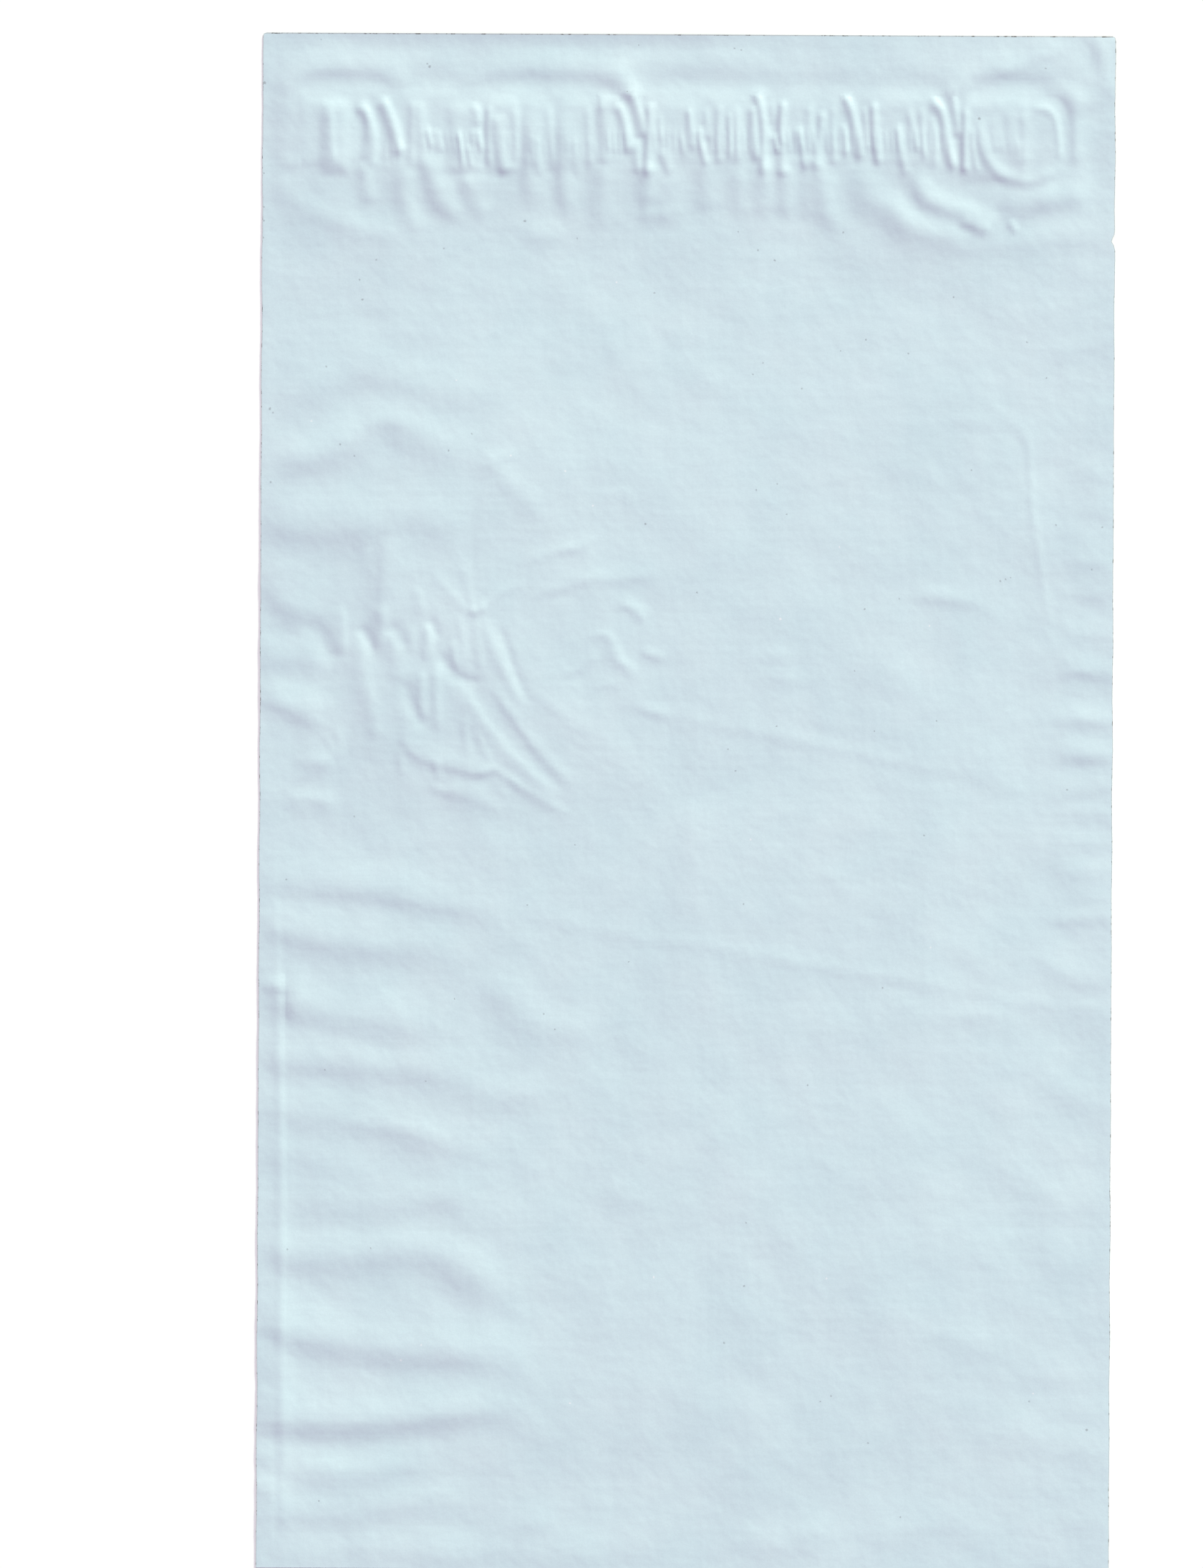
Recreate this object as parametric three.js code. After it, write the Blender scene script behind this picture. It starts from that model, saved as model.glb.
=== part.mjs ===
// Poly mailer bag, empty and lying on its front: one folded and welded film, a band of adhesive across the
// inside of its closing flap, and the release strip that covers the adhesive.
// Millimetres. X runs across the bag, Y along it with the flap at +Y, Z up. The bag lies on Z = 0.

import * as THREE from 'three';

// Bag
const bagWidth = 151.2;
const pouchLength = 234.8;
const flapLength = 37;
const filmThickness = 0.08;
const weldWidth = 0.9;
const weldBead = 0.1; // how far the melted edge stands proud of the two films
const weldGap = 0.06; // how far the panels part where the weld ends
const pouchLoft = 0.75; // how far the empty pouch stands open in its middle
const loftEase = 26; // the distance from an edge over which it opens
const edgeWander = 0.22; // how far the hot-knife cut strays from straight
const edgeWanderPitch = 19;
const edgeDriftPitch = 195; // a slow change in how much it strays
const sidePhase = 1.3; // keeps the two sides from straying alike

// Closing strip, on the inside of the flap
const adhesiveWidth = 9.4;
const adhesiveLeftMargin = 7.7; // from the left weld's cut edge to the band
const adhesiveRightMargin = 10.1;
const adhesiveThickness = 0.08;
const adhesiveFromEdge = 12.95; // from the flap's free edge to the band
const linerBorder = 1.3; // how far the liner runs past the band above and below
const linerOverhang = 3.1; // how far it runs past each end of the band
const linerThickness = 0.08;
const linerCornerRadius = 0.6;
const clearance = 0.05; // between film, adhesive, liner and table
const stripArch = 0.3; // the gathered film stands in a low arch over the strip
const stripArchSpread = 8;
const stripShoulder = 4; // the distance over which the film comes down to the table round the liner
const mouthEase = 14; // and past the mouth, where the front panel ends

// Mesh fineness, with closer rows in the crumpled patch
const crumpleFrom = -6;
const crumpleTo = 46;
const pouchColumns = 20;
const crumpleColumns = 32;
const lowFlapColumns = 54;
const stripColumns = 102;
const topFlapColumns = 42;
const underColumns = 3;
const pouchRowPitch = 6;
const crumpleRowPitch = 3;
const lowFlapRowPitch = 2.7;
const topFlapRowPitch = 2.3;
const stripRows = 5;
const curveSteps = 6;
const linerCornerSegments = 4;

// Derived places
const bagLength = pouchLength + flapLength;
const sideEdge = bagWidth / 2;
const bottomEdge = -bagLength / 2;
const mouthEdge = bottomEdge + pouchLength;
const flapEdge = bagLength / 2;
const adhesiveTop = flapEdge - adhesiveFromEdge;
const adhesiveBottom = adhesiveTop - adhesiveWidth;
const adhesiveLeft = -sideEdge + adhesiveLeftMargin;
const adhesiveRight = sideEdge - adhesiveRightMargin;
const adhesiveLength = adhesiveRight - adhesiveLeft;
const stripCentreX = (adhesiveLeft + adhesiveRight) / 2;
const stripCentreY = (adhesiveTop + adhesiveBottom) / 2;
const linerBottom = adhesiveBottom - linerBorder;
const linerTop = adhesiveTop + linerBorder;
const linerLeft = adhesiveLeft - linerOverhang;
const linerRight = adhesiveRight + linerOverhang;
const seamHeight = 2 * filmThickness + weldGap;
const stripHeight = linerThickness + adhesiveThickness + filmThickness + 2 * clearance;
const freeHeight = filmThickness + clearance;

// The creases are drawn for a bag of these sizes, and each keeps its distance from the edge or strip that it
// belongs to when a size changes
const drawnHalfWidth = 75.6;
const drawnStripX = -1.2;
const drawnStripY = 118.25;
const drawnStripLength = 133.4;
const drawnFlapEdge = 135.9;

// A crease: height of its crest, or less than 0 for a valley, how far it spreads to the left and to the right
// of someone walking along it, and the points of its line.
// Films tent up between the tacks of the adhesive: ribs and valleys across the strip
const stripRibs = [
  [0.16, 1.6, 1.0, [[-73, 114.5], [-71.2, 112.8], [-68.6, 112.2]]],
  [0.22, 1.0, 1.0, [[-63.4, 121.5], [-63.3, 116.5], [-62.6, 113]]],
  [0.24, 0.9, 1.0, [[-56.8, 123.3], [-55.9, 120], [-55.6, 116.2], [-56.3, 112.2]]],
  [0.46, 0.9, 1.0, [[-55, 124], [-53.3, 121.6], [-52.2, 118], [-50.9, 113.8]]],
  [0.26, 1.0, 0.9, [[-48.8, 124], [-49, 118.5], [-49, 112.5], [-48.6, 107], [-46.6, 103]]],
  [0.28, 1.0, 0.9, [[-46.6, 119.5], [-45.4, 117], [-45.1, 113], [-45.1, 109], [-44, 105.5], [-40.5, 102]]],
  [0.22, 0.9, 0.9, [[-41.8, 119], [-40.6, 116.4], [-39.6, 112.4]]],
  [-0.3, 0.9, 0.9, [[-37.6, 123.8], [-36.7, 121.6], [-36.5, 118], [-36, 113.5]]],
  [0.36, 1.1, 0.9, [[-34.9, 120], [-34.2, 116], [-33, 112.2], [-32.4, 110.6]]],
  [0.2, 1.0, 1.0, [[-29, 123], [-28.8, 117], [-28.8, 109], [-28.2, 105]]],
  [0.22, 1.0, 0.9, [[-23, 123.2], [-22.8, 117.5], [-22.3, 112], [-21, 106], [-20, 101.5]]],
  [0.24, 1.0, 0.9, [[-16.2, 123], [-15.2, 119], [-15, 114.5]]],
  [-0.52, 1.0, 1.0, [[-15.4, 126], [-12.2, 125.2], [-10.6, 122.4], [-9.9, 118.6], [-9.6, 114]]],
  [0.34, 0.9, 0.9, [[-11.4, 127], [-9.6, 124.8], [-8.9, 121.6], [-8.7, 118]]],
  [0.46, 0.9, 0.9, [[-7.3, 124], [-7.2, 119.5], [-7.3, 114.5], [-7.4, 110.5], [-7, 106]]],
  [0.22, 1.0, 0.9, [[-5.6, 114.5], [-4.3, 112.4], [-3.4, 110.6]]],
  [-0.3, 0.9, 0.9, [[0.5, 124], [0.8, 119.5], [1.4, 116], [2.6, 112.5]]],
  [0.26, 0.9, 0.9, [[2.8, 123.8], [2.4, 119], [2.8, 115.4], [4, 112.4]]],
  [0.2, 0.9, 0.9, [[6.9, 122.4], [7, 118.5], [6.9, 114]]],
  [0.3, 0.9, 0.9, [[10.8, 124], [11, 119.5], [11.4, 115], [12, 111.4]]],
  [-0.4, 1.1, 0.9, [[11.2, 126.2], [13.2, 123.8], [14, 119], [14.3, 113], [14.6, 107], [14.2, 102]]],
  [0.36, 1, 0.9, [[16.4, 124.2], [16.3, 119.8], [15.6, 115.6], [16.4, 111.8], [16.6, 107.5], [16.2, 103.5]]],
  [-0.26, 0.9, 0.9, [[21.6, 123], [21.7, 119], [21, 114.5], [21, 111], [21.3, 107.5]]],
  [0.34, 1.0, 0.9, [[23.2, 123], [23.2, 119], [22.4, 114.6], [22.8, 111], [23.4, 107], [24.6, 102.6]]],
  [-0.38, 0.9, 0.9, [[26.8, 125.4], [28.9, 124.2], [30, 120.4], [30.9, 116.4], [31.2, 112.5]]],
  [0.34, 0.9, 0.9, [[32.6, 123.8], [32.5, 120], [33, 117], [33.7, 114.2]]],
  [0.32, 0.9, 0.9, [[36.4, 119.8], [37, 115.6], [38, 111.2]]],
  [0.24, 0.9, 0.9, [[37.6, 123.6], [39.2, 120.4], [40, 115.4]]],
  [-0.5, 1.0, 1.0, [[41.6, 126.4], [44.6, 125], [46, 121.6], [46.9, 117.4], [48, 112.4]]],
  [0.4, 0.9, 0.9, [[49.2, 124], [48.9, 119.6], [48.8, 114.5], [49.2, 111]]],
  [0.22, 0.9, 0.9, [[51.6, 123], [51.6, 120.4], [52.6, 116], [54, 113.2]]],
  [-0.34, 1.0, 0.9, [[60.6, 124.4], [63.9, 123.4], [65.4, 120.8], [65.6, 116.5], [65.4, 114]]],
  [0.28, 0.9, 0.9, [[62, 125.6], [65.4, 123.8], [66.9, 120.4], [67, 116.5], [67, 112.8]]],
];

// Pillows of film standing over the strip: height, left, right, bottom and top
const pillows = [
  [0.2, -66, -59.4, 111, 123.6],
  [0.16, -58.6, -55.4, 111.4, 123.8],
  [0.16, -42.9, -36.6, 111, 122.6],
  [0.18, -35.3, -24.6, 111.3, 123.9],
  [0.18, -24, -17, 111.2, 123.8],
  [0.18, -16, -10.6, 112, 124.6],
  [0.14, -6.4, 4, 112, 123.6],
  [0.16, 4.6, 13.4, 111.8, 124.2],
  [0.14, 16, 29.4, 111.6, 124.1],
  [0.16, 31.4, 45.8, 111.5, 124.6],
  [0.24, 49.4, 59, 110.4, 124.4],
  [0.2, 59.6, 66, 111.4, 124],
];
const pillowEase = 0.9;

// Rolls of the flap above and below the strip
const flapRolls = [
  [0.4, 2.6, 2.2, [[-90, 130.2], [-62, 130.2], [-40, 130.6], [6, 130.6], [28, 129.4], [48, 129.6]]],
  [0.3, 2.8, 1.8, [[42, 129.2], [54, 130.6], [63, 129.4], [70, 124.4]]],
  [0.3, 1.6, 2.2, [[71, 137], [73.2, 129], [76, 123.4]]],
  [0.24, 1.8, 1.8, [[-76, 110], [-71.6, 107.4], [-66, 104], [-58, 101.6]]],
  [0.2, 1.4, 1.4, [[-40.6, 109], [-38.6, 105.8], [-36, 103]]],
  [0.34, 1.8, 1.3, [[39, 110.2], [42.6, 107.2], [47, 105.4], [52, 103.6], [56, 103.8], [66, 108]]],
  [0.24, 2.6, 1.6, [[35, 108], [37.5, 104], [41, 101.4], [46, 100.4]]],
  [0.26, 2.6, 1.6, [[29.4, 110.5], [31.6, 106.2], [35, 103.4], [40, 101.6]]],
  [0.18, 3, 1.8, [[34, 101.6], [42, 99.6], [56, 99.4], [66, 100], [80, 99.8]]],
];

// Low waves running in from the left weld, and the crumpled patch that they meet
const leftWaves = [
  [0.22, 3.4, 2.2, [[-78, 72.6], [-66, 73], [-58, 76], [-50, 74], [-42, 72], [-30, 71.4]]],
  [0.3, 2.8, 2.6, [[-78, 59.6], [-68, 60.2], [-61, 63], [-54, 66.6], [-49, 65.6], [-36, 59.6]]],
  [0.3, 4.2, 1.8, [[-80, 48.6], [-70, 48.4], [-60, 48.2], [-54.6, 48.4], [-52.6, 46.8]]],
  [0.24, 1.8, 1.6, [[-37.4, 60.6], [-34.6, 59.8], [-31, 55.6], [-27.4, 52], [-24, 50]]],
  [0.42, 4.4, 1.6, [[-80, 40], [-75, 37.6], [-70, 34.2], [-66.4, 32], [-64.6, 30.6]]],
  [0.24, 2.8, 2, [[-80, 26.6], [-72, 25.4], [-62, 25.2]]],
  [0.42, 2.8, 1.6, [[-80, 19.6], [-73, 17.4], [-67, 15], [-63.4, 13]]],
  [0.24, 3, 1.8, [[-80, -13.2], [-66, -15], [-54, -16.2], [-37, -19.6], [-33, -24], [-27, -25.6]]],
  [0.26, 3, 2, [[-80, -20], [-70, -23.4], [-62, -24.8], [-50, -26.2], [-38, -27]]],
  [0.22, 2.4, 2, [[-40, -31.6], [-33, -33.4], [-28.4, -38], [-24, -39.8], [-14, -40.6]]],
  [0.28, 3.2, 2, [[-80, -32.6], [-72, -35.2], [-62, -38.2], [-52, -39.2], [-40, -40.8]]],
  [0.28, 3, 1.8, [[-84, -42], [-72, -46], [-60, -46.6], [-48, -47.4], [-40, -49], [-34.4, -53]]],
  [0.22, 2.6, 2, [[-84, -54.8], [-70, -55.2], [-58, -56.4], [-50, -58.4], [-42, -60.6], [-34, -63.6]]],
  [0.18, 2.6, 2.2, [[-76, -70.6], [-64, -71.4], [-52, -71.4], [-42, -70.6], [-36, -73.4], [-26, -76]]],
  [0.34, 2.8, 2.2, [[-84, -75.6], [-68, -80.6], [-58, -80.6], [-48, -79], [-34, -86.8], [-26, -90.4]]],
  [0.38, 3.2, 2, [[-84, -89], [-74, -92.6], [-66, -95], [-56, -96.4], [-36, -98], [-26, -101.4]]],
  [0.44, 3.4, 1.8, [[-84, -107], [-74, -109.6], [-62, -110.2], [-50, -109.6], [-40, -108.4], [-26, -110.4]]],
  [0.3, 2.2, 2, [[-70.4, -113], [-67.4, -117.6], [-60, -118.8], [-50, -117.8], [-42, -116.8]]],
  [0.28, 2.6, 2.2, [[-84, -123.6], [-72, -125.4], [-62, -126], [-52, -124.6], [-42, -123.6], [-32, -124.6]]],
  [0.3, 1.4, 1.8, [[-53.6, 47.2], [-53.8, 40], [-54, 34], [-53.6, 30]]],
  [0.34, 1.4, 1.8, [[-67.4, 31], [-65.6, 28.4], [-63.4, 26], [-60.6, 23.6]]],
  [0.3, 1.2, 1.3, [[-57.8, 31.8], [-56.6, 29.4], [-55, 26.4]]],
  [-0.3, 1.3, 1.3, [[-57.4, 29], [-56.4, 25.4], [-55.2, 21.6], [-53.6, 16], [-53.2, 11.6]]],
  [0.28, 1.2, 1.2, [[-46.8, 36.4], [-46, 32], [-45.4, 27], [-45.4, 20], [-44.6, 13]]],
  [0.3, 1.3, 1.2, [[-46, 40.4], [-43.6, 37.6], [-41.4, 34.6], [-40.2, 31]]],
  [0.26, 1.2, 1.2, [[-39.6, 42], [-38.6, 37.4], [-37.6, 34], [-36.2, 31.2], [-34.6, 27], [-34.2, 21]]],
  [0.32, 1.3, 1.3, [[-36.6, 33.4], [-32, 25.6], [-30, 21], [-27, 14.6], [-22.8, 8.4], [-19.2, 2]]],
  [0.34, 1.3, 1.3, [[-37.4, 20.6], [-34, 15.6], [-30.4, 10.4], [-26, 5.4], [-22, 1]]],
  [0.28, 1.2, 1.2, [[-40.2, 21], [-37.8, 16.6], [-35.8, 12.2], [-33.8, 7.6]]],
  [0.42, 1.9, 1.3, [[-49.8, 12], [-49, 9.2], [-46, 7.2], [-42, 6], [-38, 6.4], [-35, 6], [-31.6, 6.2]]],
  [0.2, 1.4, 1.2, [[-26, 36.6], [-22.4, 37.8], [-18.6, 39.2], [-12, 39.4], [-4, 40.2]]],
];

// Short ripples along the right weld
const rightWaves = [
  [0.18, 2.4, 1.6, [[60, 77], [66, 79.6], [72, 81.2], [82, 80.6]]],
  [0.2, 2.2, 1.4, [[68, 59.6], [73, 58.2], [82, 57.6]]],
  [0.2, 1.8, 1.6, [[65, 36], [71, 37.2], [82, 35.6]]],
  [0.3, 2.2, 1.4, [[65, 22.8], [71, 23.4], [82, 21.4]]],
  [0.34, 2, 1.4, [[64, 15], [70, 15], [82, 13.6]]],
  [0.32, 2, 1.4, [[64, 8.6], [70, 8.8], [82, 7.6]]],
  [0.26, 1.8, 1.6, [[64, 2.2], [70, 2.6], [82, 4.4]]],
  [0.26, 1.8, 1.6, [[65, -6.4], [70, -6.6], [82, -8]]],
  [0.26, 1.8, 1.6, [[64, -12.6], [70, -12.2], [82, -12.2]]],
  [0.26, 1.8, 1.4, [[62.6, -21], [68, -20.4], [82, -19.8]]],
  [0.26, 2.6, 2, [[62, -24.6], [66, -28.8], [70, -31.2], [82, -31]]],
  [0.2, 2.6, 2, [[56, -42], [59, -46.6], [64, -49.6], [70, -52.4], [82, -54]]],
  [0.18, 2.4, 2, [[48, -60.6], [54, -62.8], [60, -67.4], [68, -70.4], [82, -70]]],
  [0.22, 2.4, 1.8, [[58, -102.4], [64, -101.4], [70, -101.4], [82, -101]]],
  [0.28, 2.8, 1.8, [[52, -109.6], [60, -112.2], [68, -114.4], [82, -114.4]]],
  [0.22, 2, 1.8, [[62, -125.6], [70, -127.4], [82, -128]]],
];

const endTaper = 0.3; // the share of a crease's length over which it dies away at each end
const endShare = 0.25; // what is left of its height there
const weldStiffness = 0.45; // the share of a crease's height that is left at a weld
const weldReach = 3;
const contactSoftness = 0.1;

const ease = (t) => {
  const s = THREE.MathUtils.clamp(t, 0, 1);
  return s * s * (3 - 2 * s);
};
const softStep = (distance) => 0.5 * (1 + Math.tanh(distance / pillowEase));

// A crease ready to be measured against, moved from where it was drawn to where it belongs
function drawCrease([height, left, right, points], place) {
  const line = new THREE.SplineCurve(points.map(([x, y]) => new THREE.Vector2(...place(x, y))));
  const path = line.getPoints(curveSteps * (points.length - 1));
  return { height, left, right, path };
}

const halfWidthChange = sideEdge - drawnHalfWidth;
const stripChange = stripCentreY - drawnStripY;
const stripStretch = adhesiveLength / drawnStripLength;
const flapChange = flapEdge - drawnFlapEdge;
const onStrip = (x, y) => [stripCentreX + (x - drawnStripX) * stripStretch, y + stripChange];
const onFlap = (x, y) => [x + Math.sign(x) * halfWidthChange, y + flapChange];
const byLeftWeld = (x, y) => [x - halfWidthChange, y];
const byRightWeld = (x, y) => [x + halfWidthChange, y];

const creases = [
  ...stripRibs.map((row) => drawCrease(row, onStrip)),
  ...flapRolls.map((row) => drawCrease(row, onFlap)),
  ...leftWaves.map((row) => drawCrease(row, byLeftWeld)),
  ...rightWaves.map((row) => drawCrease(row, byRightWeld)),
];

// What one crease adds to the film's height at a place
function creaseHeight({ height, left, right, path }, x, y) {
  let nearest = Infinity;
  let side = 0;
  let along = 0;
  for (let i = 0; i + 1 < path.length; i += 1) {
    const [a, b] = [path[i], path[i + 1]];
    const length = a.distanceTo(b);
    const dx = (b.x - a.x) / length;
    const dy = (b.y - a.y) / length;
    const walked = THREE.MathUtils.clamp((x - a.x) * dx + (y - a.y) * dy, 0, length);
    const offX = x - a.x - walked * dx;
    const offY = y - a.y - walked * dy;
    const distance = Math.hypot(offX, offY);
    if (distance < nearest) {
      nearest = distance;
      side = distance > 0 ? (dx * offY - dy * offX) / distance : 0;
      along = (i + walked / length) / (path.length - 1);
    }
  }
  const spread = (left + right) / 2 + side * (left - right) / 2;
  const fade = endShare + (1 - endShare) * ease(Math.min(along, 1 - along) / endTaper);
  return height * fade * Math.exp(-0.5 * (nearest / spread) ** 2);
}

function pillowHeight([height, left, right, bottom, top], x, y) {
  const [fromX, fromY] = onStrip(left, bottom);
  const [toX, toY] = onStrip(right, top);
  return height * softStep(x - fromX) * softStep(toX - x) * softStep(y - fromY) * softStep(toY - y);
}

// How far a place lies over the strip: 1 on the liner, and easing to 0 round it
function overStrip(x, y) {
  const outsideX = Math.max(linerLeft - x, x - linerRight, 0);
  const outsideY = Math.max(linerBottom - y, y - linerTop, 0);
  return ease(1 - Math.hypot(outsideX, outsideY) / stripShoulder);
}

// The lowest that the film's upper side can lie: on the front panel, on the strip or on the table
function restingHeight(x, y) {
  if (y <= mouthEdge) {
    return seamHeight;
  }
  const pastMouth = THREE.MathUtils.lerp(seamHeight, freeHeight, ease((y - mouthEdge) / mouthEase));
  return THREE.MathUtils.lerp(pastMouth, stripHeight, overStrip(x, y));
}

// The film's upper side: the slack pouch or the arched flap, plus every pillow and crease
function filmTop(x, y) {
  const fromSide = Math.max(sideEdge - Math.abs(x), 0);
  const open = (distance) => 1 - Math.exp(-((Math.max(distance, 0) / loftEase) ** 2));
  const loft = pouchLoft * open(fromSide) * open(y - bottomEdge) * open(mouthEdge - y);
  const fromStrip = (y - stripCentreY) / stripArchSpread;
  const arch = stripArch * Math.exp(-0.5 * fromStrip ** 2) * ease(fromSide / stripArchSpread);
  const pillowed = pillows.reduce((sum, row) => sum + pillowHeight(row, x, y), 0);
  const creased = creases.reduce((sum, crease) => sum + creaseHeight(crease, x, y), 0);
  const held = weldStiffness + (1 - weldStiffness) * ease(fromSide / weldReach);
  const bead = weldBead * ease(1 - fromSide / weldWidth);
  const lift = loft + arch + bead + held * (pillowed + creased);
  return restingHeight(x, y) + 0.5 * (lift + Math.hypot(lift, contactSoftness));
}

// The side edges, where the hot knife cut and welded the panels
function edgeX(side, y) {
  const wave = (pitch) => Math.sin(2 * Math.PI * y / pitch + side * sidePhase);
  const wander = wave(edgeWanderPitch) * wave(edgeDriftPitch);
  return side * (sideEdge - 0.5 * edgeWander * (1 + wander));
}

// The x of each column of a row: the two weld strips, and equal cells between them
function rowColumns(y, columns) {
  const weldStart = sideEdge - edgeWander - weldWidth;
  const inner = Array.from({ length: columns + 1 }, (_, i) => weldStart * (2 * i / columns - 1));
  return [edgeX(-1, y), ...inner, edgeX(1, y)];
}

// Evenly spaced values from one place to another, as near to a pitch as fits, without the last
function evenly(from, to, pitch) {
  const count = Math.max(1, Math.round((to - from) / pitch));
  return Array.from({ length: count }, (_, i) => from + (to - from) * i / count);
}

// A surface made of chains of points stitched to each other
class Skin {
  constructor() {
    this.positions = [];
    this.triangles = [];
  }

  point(x, y, z) {
    this.positions.push(x, y, z);
    return this.positions.length / 3 - 1;
  }

  row(xs, y, height) {
    return xs.map((x) => this.point(x, y, height(x, y)));
  }

  // Fills the band between two chains. It faces up where both run along +X and b lies at greater Y
  stitch(a, b, facingDown = false) {
    let i = 0;
    let j = 0;
    while (i + 1 < a.length || j + 1 < b.length) {
      const nextA = (i + 1) / (a.length - 1 || 1);
      const nextB = (j + 1) / (b.length - 1 || 1);
      const stepA = j + 1 >= b.length || (i + 1 < a.length && nextA <= nextB);
      const third = stepA ? a[i + 1] : b[j + 1];
      if (a[i] !== b[j] && third !== a[i] && third !== b[j]) {
        this.triangles.push(...(facingDown ? [b[j], third, a[i]] : [a[i], third, b[j]]));
      }
      if (stepA) {
        i += 1;
      } else {
        j += 1;
      }
    }
  }

  geometry() {
    const geometry = new THREE.BufferGeometry();
    geometry.setAttribute('position', new THREE.Float32BufferAttribute(this.positions, 3));
    geometry.setIndex(this.triangles);
    geometry.computeVertexNormals();
    return geometry;
  }
}

// Rows of the film, from the bottom fold to the flap's free edge
const rowsOf = (places, columns) => places.map((y) => ({ y, xs: rowColumns(y, columns) }));
const pouchRows = [
  ...rowsOf(evenly(bottomEdge + filmThickness, crumpleFrom, pouchRowPitch), pouchColumns),
  ...rowsOf(evenly(crumpleFrom, crumpleTo, crumpleRowPitch), crumpleColumns),
  ...rowsOf(evenly(crumpleTo, mouthEdge, pouchRowPitch), pouchColumns),
];
const lowFlapRows = rowsOf(evenly(mouthEdge, linerBottom, lowFlapRowPitch), lowFlapColumns);
const bandPlaces = [...evenly(adhesiveBottom, adhesiveTop, adhesiveWidth / stripRows), adhesiveTop];
const bandRows = rowsOf(bandPlaces, stripColumns);
const rows = [
  ...pouchRows,
  ...lowFlapRows,
  ...rowsOf([linerBottom], stripColumns),
  ...bandRows,
  ...rowsOf([linerTop], stripColumns),
  ...rowsOf(evenly(linerTop + linerBorder, flapEdge, topFlapRowPitch), topFlapColumns),
  ...rowsOf([flapEdge], topFlapColumns),
];
const mouthRow = pouchRows.length;

const filmUnder = (x, y) => filmTop(x, y) - filmThickness;

// The film: one sheet folded at the bottom, the back panel going on past the mouth as the flap
function buildFilm() {
  const skin = new Skin();
  const last = (chain) => chain[chain.length - 1];
  const inner = (chain) => chain.slice(1, -1);

  const backOuter = rows.map(({ y, xs }) => skin.row(xs, y, filmTop));
  const backInner = rows.map(({ y, xs }, j) => (j < mouthRow
    ? [null, ...skin.row(xs.slice(1, -1), y, filmUnder), null]
    : skin.row(xs, y, filmUnder)));
  const frontRows = rowsOf(rows.slice(0, mouthRow + 1).map(({ y }) => y), underColumns);
  const frontInner = frontRows.map(({ y, xs }) => skin.row(xs.slice(1, -1), y, () => filmThickness));
  const frontOuter = frontRows.map(({ y, xs }) => skin.row(xs, y, () => 0));
  const foldNose = skin.row(rows[0].xs, bottomEdge, (x, y) => filmTop(x, y) / 2);

  for (let j = 0; j + 1 < rows.length; j += 1) {
    skin.stitch(backOuter[j], backOuter[j + 1]);
    const isPouch = j < mouthRow;
    const near = isPouch ? inner(backInner[j]) : backInner[j];
    const far = isPouch ? inner(backInner[j + 1]) : backInner[j + 1];
    skin.stitch(near, far, true);
  }
  for (let j = 0; j < mouthRow; j += 1) {
    skin.stitch(frontInner[j], frontInner[j + 1]);
    skin.stitch(frontOuter[j], frontOuter[j + 1], true);
  }

  // Bottom fold, outside and inside
  skin.stitch(foldNose, backOuter[0]);
  skin.stitch(frontOuter[0], foldNose);
  skin.stitch(inner(backInner[0]), frontInner[0]);

  // Cut edge of the front panel at the mouth, and the ends of the two welds beside it
  const mouthOuter = frontOuter[mouthRow];
  const mouthInner = frontInner[mouthRow];
  const mouthBack = backInner[mouthRow];
  skin.stitch(mouthInner, inner(mouthOuter));
  skin.stitch([mouthBack[0], mouthBack[1], mouthInner[0]], [mouthOuter[0], mouthOuter[1]]);
  skin.stitch([last(mouthInner), ...mouthBack.slice(-2)], mouthOuter.slice(-2));

  // Welds: cut edges outside, and the ends of the pocket inside
  const pouch = (chains) => chains.slice(0, mouthRow + 1);
  const sides = [
    { pick: (chain) => chain[0], pickInner: (chain) => chain[1], turn: (a, b) => skin.stitch(b, a) },
    { pick: last, pickInner: (chain) => chain[chain.length - 2], turn: (a, b) => skin.stitch(a, b) },
  ];
  for (const { pick, pickInner, turn } of sides) {
    const upper = [pick(foldNose), ...pouch(backOuter).map(pick), pick(mouthBack)];
    const lower = [pick(foldNose), ...pouch(frontOuter).map(pick)];
    turn(lower, upper);
    turn(pouch(backInner).map(pickInner), pouch(frontInner).map(pick));
    turn(backInner.slice(mouthRow).map(pick), backOuter.slice(mouthRow).map(pick));
  }

  // Free edge of the flap
  skin.stitch(last(backOuter), last(backInner));
  return skin.geometry();
}

// The adhesive: a band that follows the underside of the flap
function buildAdhesive() {
  const skin = new Skin();
  const isUnder = (x) => x > adhesiveLeft && x < adhesiveRight;
  const columnsOf = (xs) => [adhesiveLeft, ...xs.filter(isUnder), adhesiveRight];
  const heightOn = (xs, y, x) => {
    const i = xs.findIndex((edge) => edge >= x);
    const share = (x - xs[i - 1]) / (xs[i] - xs[i - 1]);
    return THREE.MathUtils.lerp(filmUnder(xs[i - 1], y), filmUnder(xs[i], y), share) - clearance;
  };
  const top = bandRows.map(({ y, xs }) => skin.row(columnsOf(xs), y, (x) => heightOn(xs, y, x)));
  const bottom = bandRows.map(({ y, xs }) =>
    skin.row(columnsOf(xs), y, (x) => heightOn(xs, y, x) - adhesiveThickness));
  const last = (chain) => chain[chain.length - 1];
  for (let j = 0; j + 1 < bandRows.length; j += 1) {
    skin.stitch(top[j], top[j + 1]);
    skin.stitch(bottom[j], bottom[j + 1], true);
  }
  skin.stitch(bottom[0], top[0]);
  skin.stitch(last(top), last(bottom));
  skin.stitch(top.map((chain) => chain[0]), bottom.map((chain) => chain[0]));
  skin.stitch(bottom.map(last), top.map(last));
  return skin.geometry();
}

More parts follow.
